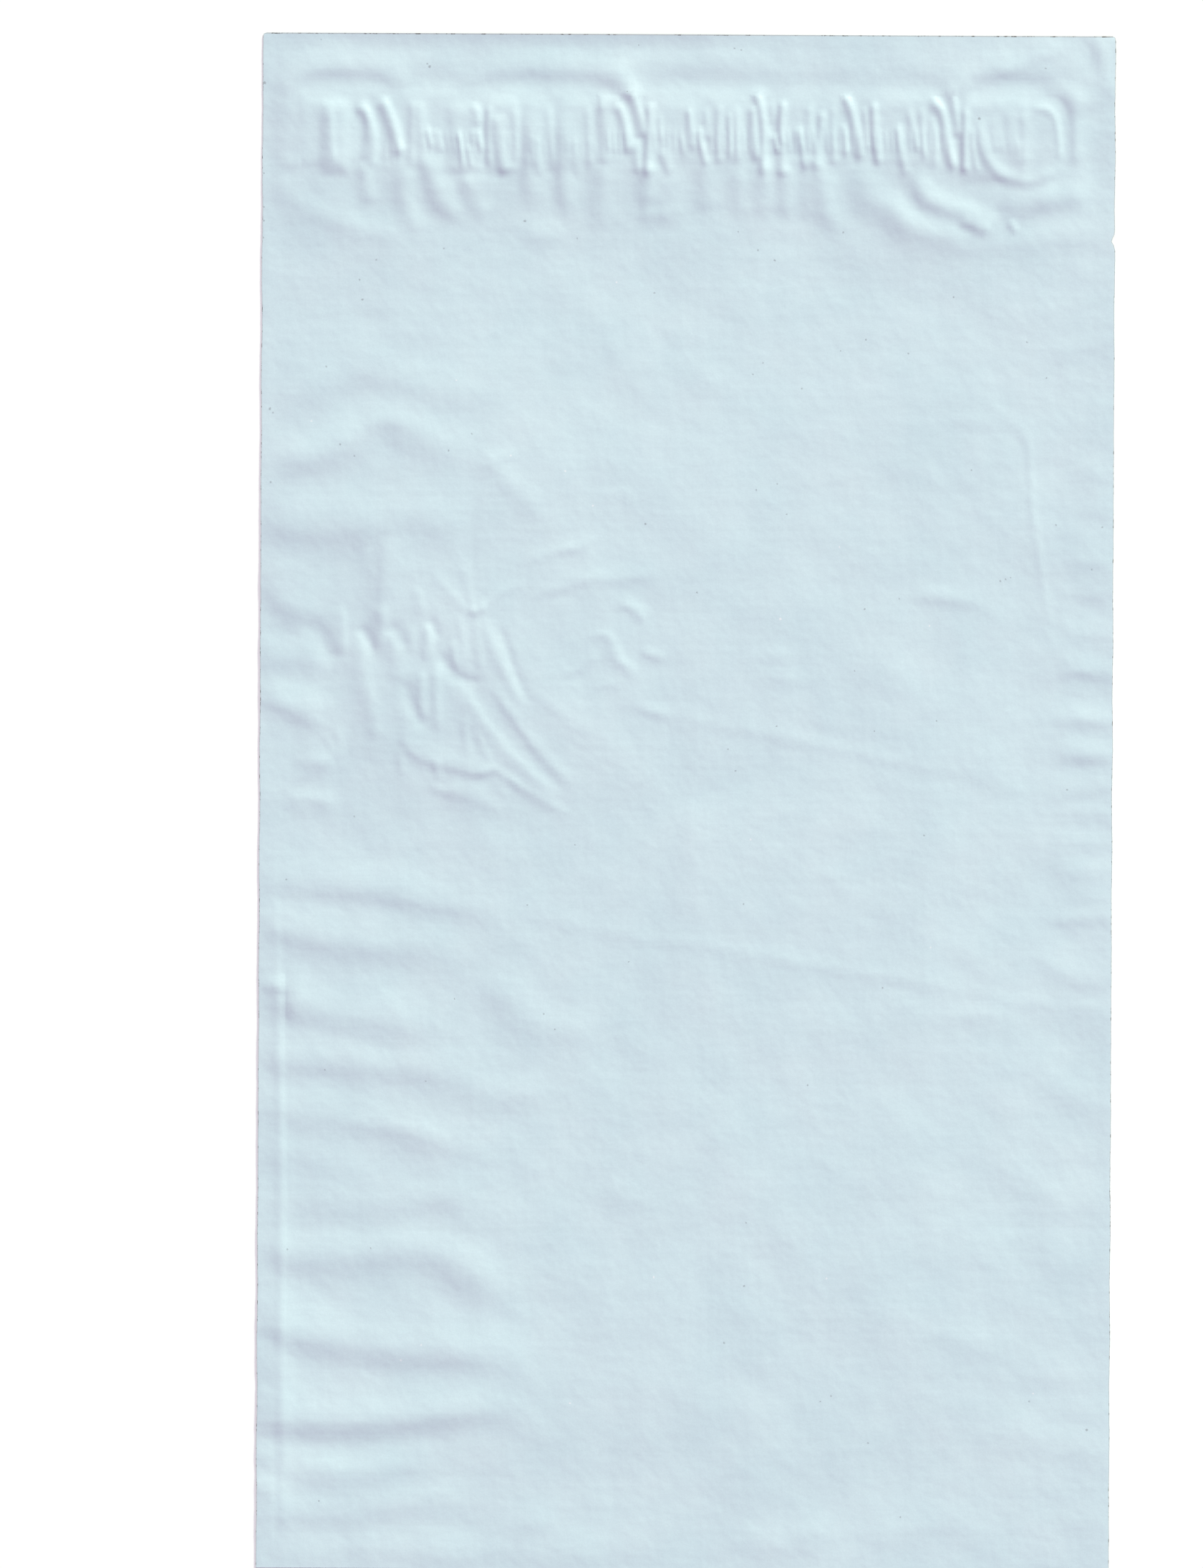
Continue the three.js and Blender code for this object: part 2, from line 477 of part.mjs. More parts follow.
// The release liner: a die-cut strip lying under the adhesive, wider and longer than it
function buildLiner() {
  const outline = new THREE.Shape();
  const halfLength = (linerRight - linerLeft) / 2;
  const halfWidth = (linerTop - linerBottom) / 2;
  const r = linerCornerRadius;
  outline.moveTo(-halfLength + r, -halfWidth);
  outline.lineTo(halfLength - r, -halfWidth);
  outline.absarc(halfLength - r, -halfWidth + r, r, -Math.PI / 2, 0);
  outline.lineTo(halfLength, halfWidth - r);
  outline.absarc(halfLength - r, halfWidth - r, r, 0, Math.PI / 2);
  outline.lineTo(-halfLength + r, halfWidth);
  outline.absarc(-halfLength + r, halfWidth - r, r, Math.PI / 2, Math.PI);
  outline.lineTo(-halfLength, -halfWidth + r);
  outline.absarc(-halfLength + r, -halfWidth + r, r, Math.PI, Math.PI * 1.5);
  return new THREE.ExtrudeGeometry(outline, {
    depth: linerThickness,
    bevelEnabled: false,
    curveSegments: linerCornerSegments,
  });
}

function piece(name, geometry, color, roughness) {
  const mesh = new THREE.Mesh(geometry, new THREE.MeshStandardMaterial({ color, roughness, metalness: 0 }));
  mesh.name = name;
  return mesh;
}

const film = piece('mailer_film', buildFilm(), 0xd2e2e9, 0.45);
const adhesive = piece('adhesive_strip', buildAdhesive(), 0xe8e2c4, 0.35);
const liner = piece('release_liner', buildLiner(), 0xf2f0ea, 0.5);
liner.position.set(stripCentreX, stripCentreY, 0);

const mailerBag = new THREE.Group();
mailerBag.name = 'poly_mailer_bag';
mailerBag.add(film, adhesive, liner);

export default mailerBag;
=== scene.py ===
# Poly mailer bag, empty and lying on its front, seen from above.
# Metres, +X across the bag, +Y towards its flap.
import math

import bpy
import numpy as np
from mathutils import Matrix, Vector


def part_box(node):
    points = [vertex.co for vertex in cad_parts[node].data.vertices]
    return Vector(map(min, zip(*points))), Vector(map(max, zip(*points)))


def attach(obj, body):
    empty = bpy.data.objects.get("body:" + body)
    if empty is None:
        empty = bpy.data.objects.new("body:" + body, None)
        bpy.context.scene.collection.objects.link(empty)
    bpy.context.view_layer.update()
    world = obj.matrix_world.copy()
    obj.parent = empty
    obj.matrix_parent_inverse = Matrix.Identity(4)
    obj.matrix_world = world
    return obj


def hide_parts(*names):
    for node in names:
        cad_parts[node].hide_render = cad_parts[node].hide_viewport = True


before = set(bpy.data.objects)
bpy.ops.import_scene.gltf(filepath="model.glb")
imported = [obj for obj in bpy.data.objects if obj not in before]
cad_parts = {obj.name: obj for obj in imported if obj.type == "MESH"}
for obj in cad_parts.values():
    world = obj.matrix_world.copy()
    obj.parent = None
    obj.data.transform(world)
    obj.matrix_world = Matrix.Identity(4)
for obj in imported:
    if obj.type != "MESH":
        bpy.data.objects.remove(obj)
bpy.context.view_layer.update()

# Film
# The bag is one web of blown polyethylene, white outside and silver grey inside, folded across at the bottom.
# A hot knife welds and cuts its two sides; the back panel runs on past the mouth as the closing flap.
# Shrinking adhesive gathers the flap into pillows and puckers, and the panels cockle along their welds.
mm = 0.001
film_low, film_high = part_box("mailer_film")
liner_low, liner_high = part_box("release_liner")
adhesive_low, adhesive_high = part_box("adhesive_strip")
half_width = film_high.x
bottom_edge, flap_edge = film_low.y, film_high.y
flap_length = 37 * mm
mouth_edge = flap_edge - flap_length
film_thickness = 0.08 * mm

# Side welds, with a bead of melted film along the cut, and the dark line along each cut edge: melted film,
# darkened further with painted shade of the edge's shadow
weld_width = 1.1 * mm
weld_gap = 0.06 * mm
weld_bead = 0.02 * mm
bead_width = 0.6 * mm
bead_crest = 0.3 * mm
left_line, right_line, top_line = 0.1 * mm, 0.12 * mm, 0.2 * mm

# How far the hot knife strayed to the side, and over what lengths
edge_wander, edge_wander_pitch, edge_drift_pitch = 0.12 * mm, 19 * mm, 195 * mm
edge_roughness, rough_pitch = 0.06 * mm, 2.9 * mm
side_phase = 1.3
corner_rounding = 0.55 * mm
nick_place, nick_reach, nick_depth = mouth_edge + 0.8 * mm, 0.75 * mm, 0.6 * mm

# How the film lies: the pouch's slack, the step at the mouth, and the lift over the adhesive and its strip
slack_height = 0.75 * mm
slack_ease = 26 * mm
mouth_ease = 14 * mm
lying_clearance = 0.05 * mm
strip_height = 0.34 * mm
strip_shoulder = 4 * mm
strip_foot = 9 * mm
strip_middle = 118.2 * mm

# Each crease: height of its crest, or less than 0 for a valley, how far it spreads to the left and to the
# right of someone walking along it, and the points of its line, all in millimetres.

# Pillows over the strip: height, left, right, bottom and top edge, and lean to the side for each mm upwards
pillows = [
    (0.16, -68.8, -61, 112.6, 123.8, 0),
    (0.36, -64.9, -60.2, 111.2, 123.6, 0),
    (0.24, -42.4, -36.6, 111.4, 123, 0),
    (0.26, -35.6, -30.4, 111.4, 124.2, 0),
    (0.18, -28.9, -24.6, 112.6, 124, 0),
    (0.18, -22.9, -17.4, 112.6, 124, 0),
    (0.12, -15.8, -12.2, 113, 124.6, -0.1),
    (0.12, -6.2, 2, 113.2, 124, 0),
    (0.12, 3.4, 9.8, 113.2, 124.4, 0),
    (0.12, 17.2, 22.2, 113, 124.2, 0),
    (0.12, 23.8, 28.2, 113, 124.4, 0),
    (0.14, 33.4, 43.8, 113, 124.8, 0),
    (0.2, 48.8, 60, 110.4, 124.4, 0),
    (0.16, 60.2, 65.4, 111.4, 124, 0),
]

# Even rows of fine puckers: first and last x, pitch, top, bottom, height, shift of the foot to the side
fine_puckers = [
    (-53.8, -51.6, 1.1, 117, 112.6, 0.06, 0.4),
    (-47.4, -43.2, 1.05, 119.2, 114.2, 0.08, 0.9),
    (-42, -37.2, 1.1, 118.8, 113.6, 0.09, 1),
    (-33.2, -30.8, 1.2, 119, 114, 0.06, 0.4),
    (-28, -24.6, 1.15, 118.6, 113.2, 0.06, 0.4),
    (-21.6, -17.4, 1.2, 118.4, 113.4, 0.05, 0.4),
    (-14.4, -11.4, 1, 119.4, 114.2, 0.12, 0.4),
    (-6.2, 1.4, 1.15, 119.8, 114.4, 0.09, 0.4),
    (3.8, 10.6, 1.15, 120, 114.2, 0.1, 0.2),
    (14.2, 15.8, 1, 119.6, 114.6, 0.08, 0.4),
    (17.4, 21.8, 1.1, 120, 114.6, 0.11, 0.7),
    (24.4, 28.8, 1.1, 120, 114.2, 0.11, 0.3),
    (30.4, 32.6, 1, 119.6, 114.4, 0.09, 0.5),
    (33.6, 37, 1.1, 120, 114.4, 0.11, 0.4),
    (39, 44.8, 1.15, 120, 114.4, 0.11, 0.4),
    (49.8, 57.6, 1.3, 119.4, 114.6, 0.05, 0.9),
]

# Sharp ribs between the pillows
ribs = [
    (0.22, 0.5, 0.7, [(-63.6, 122.6), (-63.4, 117.4), (-62.9, 112.6)]),
    (0.24, 0.6, 0.6, [(-58.6, 123.6), (-57.2, 121.8), (-56.9, 117), (-57.6, 113)]),
    (0.22, 0.7, 0.5, [(-47.6, 124), (-47.4, 118), (-47.2, 111.6)]),
    (0.2, 0.6, 0.5, [(-31, 122.8), (-30.6, 118), (-30.8, 113)]),
    (0.2, 0.6, 0.5, [(-25, 123.4), (-24.6, 118.4), (-24, 111.6)]),
    (0.2, 0.6, 0.5, [(-17.9, 123.2), (-17.6, 118), (-17.2, 112)]),
    (0.26, 0.6, 0.5, [(5.4, 123.6), (5.2, 119), (5.4, 112.6)]),
    (0.24, 0.6, 0.5, [(21.2, 123.8), (21.4, 118.6), (21.6, 112.4)]),
    (0.26, 0.6, 0.5, [(25.6, 123.4), (25.4, 118.4), (25.8, 112.4)]),
    (0.24, 0.6, 0.5, [(43, 121.6), (43.4, 117), (43.8, 112.2)]),
    (0.22, 0.9, 0.6, [(59.2, 122.6), (59.6, 118), (59.8, 112.8)]),
    (0.2, 0.9, 0.7, [(-71.8, 113.4), (-70.6, 112.7), (-68.8, 112.4)]),
    (0.16, 0.8, 0.8, [(-59.3, 121.8), (-59.4, 112.6)]),
    (0.4, 0.62, 0.7, [(-59.6, 122.7), (-57.8, 122.2), (-56.6, 120.6), (-55.95, 118), (-55.9, 115.4),
     (-56.4, 111.8)]),
    (0.62, 0.68, 0.85, [(-54.7, 124.6), (-53.1, 121.4), (-52, 118), (-50.9, 114)]),
    (0.32, 0.9, 0.6, [(-48.9, 124.2), (-48.9, 119), (-49.1, 112)]),
    (0.3, 0.4, 0.42, [(-46.6, 119.2), (-45.9, 117.4), (-45.4, 115.4)]),
    (0.2, 0.36, 0.36, [(-45, 119), (-44.4, 117), (-44, 114.8)]),
    (0.22, 0.5, 0.55, [(-38.8, 123.2), (-37.7, 122.3), (-37.4, 119.6)]),
    (0.3, 0.34, 0.34, [(-41, 118.8), (-40.6, 116.6), (-40, 112.2)]),
    (0.18, 0.34, 0.34, [(-39.2, 116), (-38.8, 114), (-38.4, 112.2)]),
    (0.18, 0.36, 0.34, [(-38.3, 118.8), (-38, 116.4)]),
    (0.26, 0.36, 0.38, [(-37.5, 118.8), (-37, 117), (-36.6, 115)]),
    (0.34, 0.5, 0.42, [(-35.5, 123.4), (-35.6, 118.4), (-35.4, 112.2)]),
    (0.4, 1, 0.65, [(-34.3, 121.8), (-33.8, 116.4), (-33.2, 113.4), (-32.4, 110.6)]),
    (0.18, 0.55, 0.6, [(-27.2, 117.8), (-26.9, 114.4), (-26.2, 110.8)]),
    (0.15, 0.55, 0.6, [(-20.4, 117.6), (-20, 114.4), (-19.4, 110.8)]),
    (0.32, 0.9, 0.85, [(-15.6, 124.2), (-15.1, 120.6), (-14.9, 117.6), (-15.2, 112.6)]),
    (0.26, 0.8, 1, [(-16.2, 124), (-14.2, 124.1), (-12.6, 123.6)]),
    (0.52, 0.62, 0.62, [(-13, 123.8), (-11.9, 121.8), (-11.2, 119.2), (-10.6, 116.4), (-10.2, 114.6)]),
    (0.5, 0.55, 0.75, [(-10.4, 126.4), (-9.3, 123.2), (-8.5, 120.2), (-8.1, 117.4)]),
    (0.28, 0.5, 0.5, [(-9.3, 117.4), (-9.2, 114.4), (-9, 111.4)]),
    (0.58, 0.75, 0.55, [(-7.1, 124.2), (-7, 119.6), (-7.2, 115.6), (-7.3, 112.8), (-7.2, 110.4)]),
    (0.2, 0.42, 0.42, [(-5.2, 121.6), (-5, 117)]),
    (0.3, 0.75, 0.55, [(-4.9, 115.4), (-4.1, 113.2), (-3.2, 111.2)]),
    (0.24, 1, 0.9, [(-8.8, 104.6), (-6, 103.9), (-3.2, 104.1)]),
    (0.2, 0.36, 0.34, [(-1.3, 118), (-1, 116), (-0.8, 114.2)]),
    (0.34, 0.5, 0.42, [(-0.1, 123), (0.2, 119.8), (0.4, 117.6), (0.4, 115.4)]),
    (0.38, 0.5, 0.45, [(1.8, 119.6), (1.9, 117.2), (2.5, 115), (3.1, 112.4)]),
    (0.24, 0.5, 0.42, [(3, 122.8), (3, 119.6), (3, 117.2)]),
    (0.32, 0.42, 0.4, [(7.1, 122.4), (7.2, 118.6), (7.2, 113.8)]),
    (0.26, 0.5, 0.5, [(8.2, 123.2), (8.5, 119.4), (8.6, 113.2)]),
    (0.52, 0.55, 0.55, [(11.2, 123.6), (11.4, 119.6), (11.7, 116.4), (12.2, 113.2)]),
    (0.54, 0.62, 0.5, [(11.2, 126.6), (12.2, 124.4), (12.9, 121.6), (13.2, 118.4), (13.2, 114),
     (13.2, 110.6)]),
    (0.2, 0.5, 0.45, [(14.6, 124), (14.8, 120.4)]),
    (0.32, 0.42, 0.38, [(14.8, 118.4), (15.3, 116.6), (15.8, 115)]),
    (0.56, 0.6, 0.48, [(16.6, 124.4), (16.3, 120.6), (16.3, 118.6), (16.7, 115.8)]),
    (0.34, 0.7, 0.6, [(16.4, 116.4), (16.5, 113.6), (16.6, 110.8)]),
    (0.34, 0.6, 0.42, [(19.2, 119.8), (19.6, 117.4), (20.2, 114.8), (20.8, 111.8)]),
    (0.2, 1, 1, [(20.2, 114.6), (20.8, 108), (21.2, 103)]),
    (0.5, 0.7, 0.55, [(23.4, 122.8), (23.4, 119.8), (23, 117), (22.7, 114.6), (22.6, 111.6)]),
    (0.3, 0.4, 0.4, [(27.2, 120.2), (27.6, 117.2), (27.8, 114.2)]),
    (0.56, 0.6, 0.58, [(27.2, 125.8), (28.6, 122.8), (29.3, 120), (29.9, 117.2), (30.5, 113.4)]),
    (0.26, 0.4, 0.4, [(31, 123.2), (31.3, 119.6), (31.5, 115.4)]),
    (0.52, 0.55, 0.5, [(32.6, 124.4), (32.7, 120.6), (33, 117), (33.7, 112.6)]),
    (0.3, 0.6, 0.5, [(36.8, 120.4), (37.3, 117), (37.9, 113.6), (38.6, 110.8)]),
    (0.24, 0.45, 0.45, [(38.8, 122.8), (39.7, 119.2), (40.4, 115.4)]),
    (0.24, 0.5, 0.45, [(41.2, 123.2), (41.3, 118.6), (41.8, 113.6)]),
    (0.6, 0.62, 0.6, [(42.2, 124.6), (44.2, 123.2), (45.2, 120.6), (45.7, 117.6), (46.3, 114.6),
     (47.1, 111.8)]),
    (0.46, 0.5, 0.7, [(46.3, 127.4), (46.9, 123.6), (47.4, 120.6), (47.6, 117.6)]),
    (0.56, 0.6, 0.5, [(48.9, 123.4), (48.8, 119.6), (48.8, 115), (48.8, 111.2)]),
    (0.22, 0.42, 0.4, [(50.2, 119.8), (50.2, 116.4), (50.7, 113.4), (51.2, 111.6)]),
    (0.38, 0.8, 0.7, [(51.3, 121.8), (51.8, 117.4), (52.8, 114.2), (54.6, 111.8), (57.2, 110.5),
     (61, 110.3), (65.4, 112)]),
    (0.18, 0.8, 0.8, [(53.8, 121.6), (54.2, 118.4), (54.8, 115.4)]),
    (0.18, 0.9, 0.7, [(56.6, 122.8), (57, 118.8), (57.8, 115), (58.4, 112.6)]),
    (0.16, 0.7, 0.7, [(58.6, 117.4), (59.1, 114), (59.5, 111.4)]),
    (0.24, 0.45, 0.45, [(60.4, 123), (63, 122.9), (64.6, 121.6), (65.2, 119.6), (65.6, 116),
     (65.5, 113.6)]),
    (0.26, 0.9, 0.6, [(62.4, 126.6), (66.2, 125.4), (68, 122.4), (68.5, 118), (68.4, 112.8)]),
    (0.04, 0.35, 0.4, [(-58, 113.6), (-30, 113.6), (8, 113.6), (40, 113.6)]),
    (0.03, 0.35, 0.35, [(-58, 122.9), (-20, 122.9), (20, 122.9), (62, 122.8)]),
    (0.04, 0.4, 0.4, [(-69, 112.3), (-20, 112.3), (30, 112.2), (66, 112.2)]),
]

# Soft bands that hang from the ribs
bands = [
    (0.34, 1.3, 1.4, [(-50.3, 114.6), (-50.4, 107.6), (-49.4, 103.4), (-47.2, 99.8)]),
    (0.34, 1.4, 1.15, [(-45.8, 116), (-45.8, 112), (-45.3, 108.4), (-43.9, 105.6), (-41.2, 103.2)]),
    (0.22, 1.3, 1.3, [(-44.2, 111), (-42, 105.2), (-39.6, 102.4)]),
    (0.34, 1.9, 1, [(-28.6, 123.8), (-28.5, 116), (-28.2, 109.4), (-27.2, 104.2)]),
    (0.34, 1.8, 0.95, [(-22.6, 123.8), (-22.5, 117), (-22.4, 112), (-21.8, 106.4), (-20.4, 101)]),
    (0.28, 1.6, 1.5, [(-15, 114.6), (-15.4, 105.6), (-14.9, 100.4)]),
    (0.26, 1.4, 1.2, [(-15.6, 129.4), (-12.4, 128.2), (-10.5, 126), (-9.6, 123.8)]),
    (0.34, 1.4, 1.2, [(-7.3, 114), (-7.2, 107.6), (-6.8, 104.6)]),
    (0.24, 1.5, 1.4, [(-3.8, 112.6), (-3, 105.4), (-1.6, 101.4)]),
    (0.22, 1.4, 1.3, [(2.8, 114.6), (3.2, 107.6), (3.8, 103.8)]),
    (0.22, 1.4, 1.3, [(8.8, 114), (9.2, 106.4), (10.4, 102.4)]),
    (0.3, 1.3, 1.3, [(12.9, 114.6), (13.3, 107), (13, 102.8)]),
    (0.32, 1.3, 1.1, [(16.8, 114.6), (17.1, 107.4), (17.2, 102.4)]),
    (0.34, 1.6, 1.4, [(22.7, 114.8), (23.8, 107.6), (25, 103.2), (26.8, 100.4)]),
    (0.34, 2.2, 1.9, [(29.2, 114.4), (31.8, 107.8), (35, 104.6), (38, 102.2), (42, 100.2)]),
]

# Arched folds over the pillows
arches = [
    (0.4, 2.4, 1.3, [(-72, 124), (-70.4, 127.4), (-66, 129.5), (-58, 129.8), (-52.6, 128.6),
     (-49.6, 125.6)]),
    (0.38, 2.4, 1.3, [(-40, 124.8), (-38, 128), (-32.6, 129.5), (-23, 129.7), (-16, 129), (-12.2, 127.4),
     (-10.2, 125), (-9.2, 122.4)]),
    (0.14, 2.4, 1.6, [(-8.6, 127), (-5, 129.4), (2, 129.9), (9, 129), (12.6, 127)]),
    (0.18, 2.2, 1.8, [(-14, 130.6), (-4, 131.2), (6, 130.8), (16, 130.2)]),
    (0.16, 2.2, 1.6, [(13.4, 127.4), (17, 129.4), (24, 129.8), (29, 128.4), (30.6, 125.6)]),
    (0.16, 2.2, 1.6, [(31.4, 127.2), (36, 129.2), (42, 129.2), (46.2, 127.4), (47.6, 124.6)]),
    (0.38, 2.2, 1.2, [(47.2, 124.4), (48.6, 127.6), (52.6, 129.6), (58.6, 129.9), (64.4, 128.6),
     (68.6, 125), (70, 120.6)]),
]

# Rolls of the flap above and below the strip
flap_rolls = [
    (0.2, 2.4, 2, [(-50, 130.6), (-45, 130.6), (-40, 129.6)]),
    (0.07, 0.7, 0.6, [(51, 127), (58, 130.4), (68.4, 134.6)]),
    (0.28, 2, 1.8, [(57, 133), (64, 133), (69, 130.6), (72.6, 126.6), (74.8, 121.6)]),
    (0.4, 3, 0.7, [(71.6, 137), (73.6, 129.6), (75.6, 123)]),
    (0.44, 1.7, 1.5, [(-80, 136.8), (-40, 136.9), (-10, 136.8), (12, 136.8), (24, 137.6)]),
    (0.26, 1.8, 1.8, [(-76, 110.4), (-72, 108), (-66.6, 104.8), (-59, 101.4)]),
    (0.18, 1.6, 1.6, [(-68, 110.2), (-63, 107.6), (-57.6, 104.6)]),
    (0.18, 1.6, 1.6, [(-64, 103.4), (-57, 100.8), (-49, 99.8)]),
    (0.26, 0.9, 0.9, [(-57.6, 113.4), (-57, 108), (-56.2, 105)]),
    (0.26, 1.4, 1.2, [(-40.4, 111.4), (-37.8, 106.2), (-35.4, 102.8)]),
    (0.22, 1.4, 1.6, [(-41, 109.4), (-37, 109.6), (-33.4, 109.4)]),
    (0.16, 1.4, 1.2, [(-30, 101), (-26, 100), (-21, 100.6)]),
    (0.34, 1.8, 1.6, [(35.4, 108.6), (37, 105), (39.6, 102.6), (44, 101.2), (50, 101)]),
    (0.5, 1.5, 1.3, [(40.2, 113), (41.4, 108), (44, 106), (48, 104.8), (53, 103.6), (56, 103.8)]),
    (0.3, 0.8, 0.5, [(47.6, 103.2), (51, 102.1), (54, 101.6)]),
    (0.14, 0.4, 0.6, [(50.4, 101.7), (51.8, 101.1), (53.2, 101.5)]),
    (0.3, 1.8, 1.3, [(54.4, 103.6), (58, 104.6), (62, 106.2), (66, 107.2), (72, 108.2)]),
    (0.24, 0.45, 0.5, [(56.6, 103.2), (57.4, 102.2), (58.2, 101)]),
    (0.26, 1.8, 1.6, [(50, 107.6), (55, 107), (61, 107.4), (66, 108.6)]),
    (0.22, 2.4, 1.5, [(34, 100.8), (42, 99), (56, 99.2), (66, 100), (80, 99.8)]),
    (0.12, 2.2, 1.4, [(66, 95), (73, 93.4), (80, 91)]),
]

# Low waves that run in from the left weld
left_waves = [
    (0.34, 3.4, 2, [(-78, 72.6), (-66, 73), (-58, 76), (-50, 74), (-42, 72), (-30, 71.4)]),
    (0.42, 2.6, 2.4, [(-78, 59.8), (-68, 60.4), (-61, 63.4), (-53.6, 67.2), (-49.4, 66.2), (-43, 62.8),
     (-36, 59.4)]),
    (0.24, 2.6, 1.8, [(-73, 58.6), (-66, 60.8), (-60, 63.8), (-55.4, 66.8)]),
    (0.44, 3.8, 2.1, [(-80, 48.8), (-70, 48.6), (-60, 48.6), (-54.4, 49), (-52.6, 47.4), (-52.3, 43)]),
    (0.24, 2.6, 2.2, [(-50, 52.6), (-45, 50), (-38, 48)]),
    (0.18, 1.6, 1.4, [(-37.4, 60.6), (-34.6, 59.8), (-31, 55.6), (-27.4, 52), (-24, 50)]),
    (0.42, 4, 1.8, [(-80, 40), (-75, 37.6), (-70, 34.2), (-66.4, 32), (-64.6, 30.6)]),
    (0.34, 2.8, 1.8, [(-80, 26.6), (-72, 25.4), (-62, 25.2)]),
    (0.4, 2.6, 1.3, [(-80, 19.6), (-73, 17.4), (-67, 15), (-63.4, 13)]),
    (0.22, 1.6, 1.2, [(-69, 8.2), (-65.6, 6.6), (-62, 7.6)]),
    (0.22, 1.8, 1.4, [(-72, 0.2), (-66, -0.6), (-61, -0.4)]),
    (0.36, 3, 1.4, [(-80, -13.2), (-66, -15), (-54, -16.2), (-44, -18), (-37, -19.6), (-33, -24),
     (-27, -25.6)]),
    (0.4, 3, 1.8, [(-80, -20), (-70, -23.4), (-62, -24.8), (-50, -26.2), (-38, -27)]),
    (0.3, 2.4, 2, [(-40, -31.6), (-33, -33.4), (-28.4, -38), (-24, -39.8), (-14, -40.6)]),
    (0.42, 3.2, 2, [(-80, -32.6), (-72, -35.2), (-62, -38.2), (-52, -39.2), (-40, -40.8)]),
    (0.4, 3, 1.6, [(-84, -42), (-72, -46), (-60, -46.6), (-48, -47.4), (-40, -49), (-34.4, -53)]),
    (0.26, 1.8, 1.6, [(-34.4, -53.4), (-31, -52.4), (-24, -50.8)]),
    (0.32, 2.6, 2, [(-84, -54.8), (-70, -55.2), (-58, -56.4), (-50, -58.4), (-42, -60.6), (-34, -63.6)]),
    (0.2, 2.2, 2, [(-84, -61.6), (-70, -62.6), (-62, -64.2), (-54, -66)]),
    (0.26, 2.6, 2.2, [(-76, -70.6), (-64, -71.4), (-52, -71.4), (-42, -70.6), (-36, -73.4), (-26, -76)]),
    (0.48, 2.8, 2.2, [(-84, -75.6), (-74, -78.4), (-68, -80.6), (-58, -80.6), (-48, -79), (-41, -81.4),
     (-34, -86.8), (-26, -90.4)]),
    (0.56, 3.2, 2, [(-84, -89), (-74, -92.6), (-66, -95), (-56, -96.4), (-46, -97.6), (-36, -98),
     (-26, -101.4)]),
    (0.3, 1.6, 1.4, [(-82, -98.4), (-74, -99.8), (-70, -101)]),
    (0.66, 3.4, 1.6, [(-84, -107), (-74, -109.6), (-62, -110.2), (-50, -109.6), (-40, -108.4),
     (-34, -107.8), (-26, -110.4)]),
    (0.46, 2, 2, [(-70.4, -113), (-67.4, -117.6), (-60, -118.8), (-50, -117.8), (-42, -116.8)]),
    (0.4, 2.6, 2.2, [(-84, -123.6), (-72, -125.4), (-62, -126), (-52, -124.6), (-42, -123.6),
     (-32, -124.6)]),
    (0.3, 1.2, 1.2, [(-80, -114.6), (-74.4, -116), (-71.6, -116.6)]),
    (0.26, 1.2, 1.2, [(-80, -120.6), (-74.4, -121.6), (-71.6, -121.6)]),
    (0.26, 1.4, 1.4, [(-80, -127.6), (-74.4, -128.4), (-71.6, -128.6)]),
    (0.3, 2.4, 2.4, [(-80, -132.6), (-60, -132.4), (-40, -133), (-20, -133.2), (0, -131.4), (6, -132.4)]),
    (0.3, 2, 2, [(6, -131.6), (12, -130.4), (18, -131.4), (24, -129.4), (30, -131)]),
    (0.2, 2, 2, [(30, -130.4), (34, -129), (38, -130.4), (46, -127.4), (52, -129.6), (56, -133)]),
    (0.28, 1.6, 1, [(-30, -128.2), (-25.4, -127.6), (-22.6, -128.8)]),
]

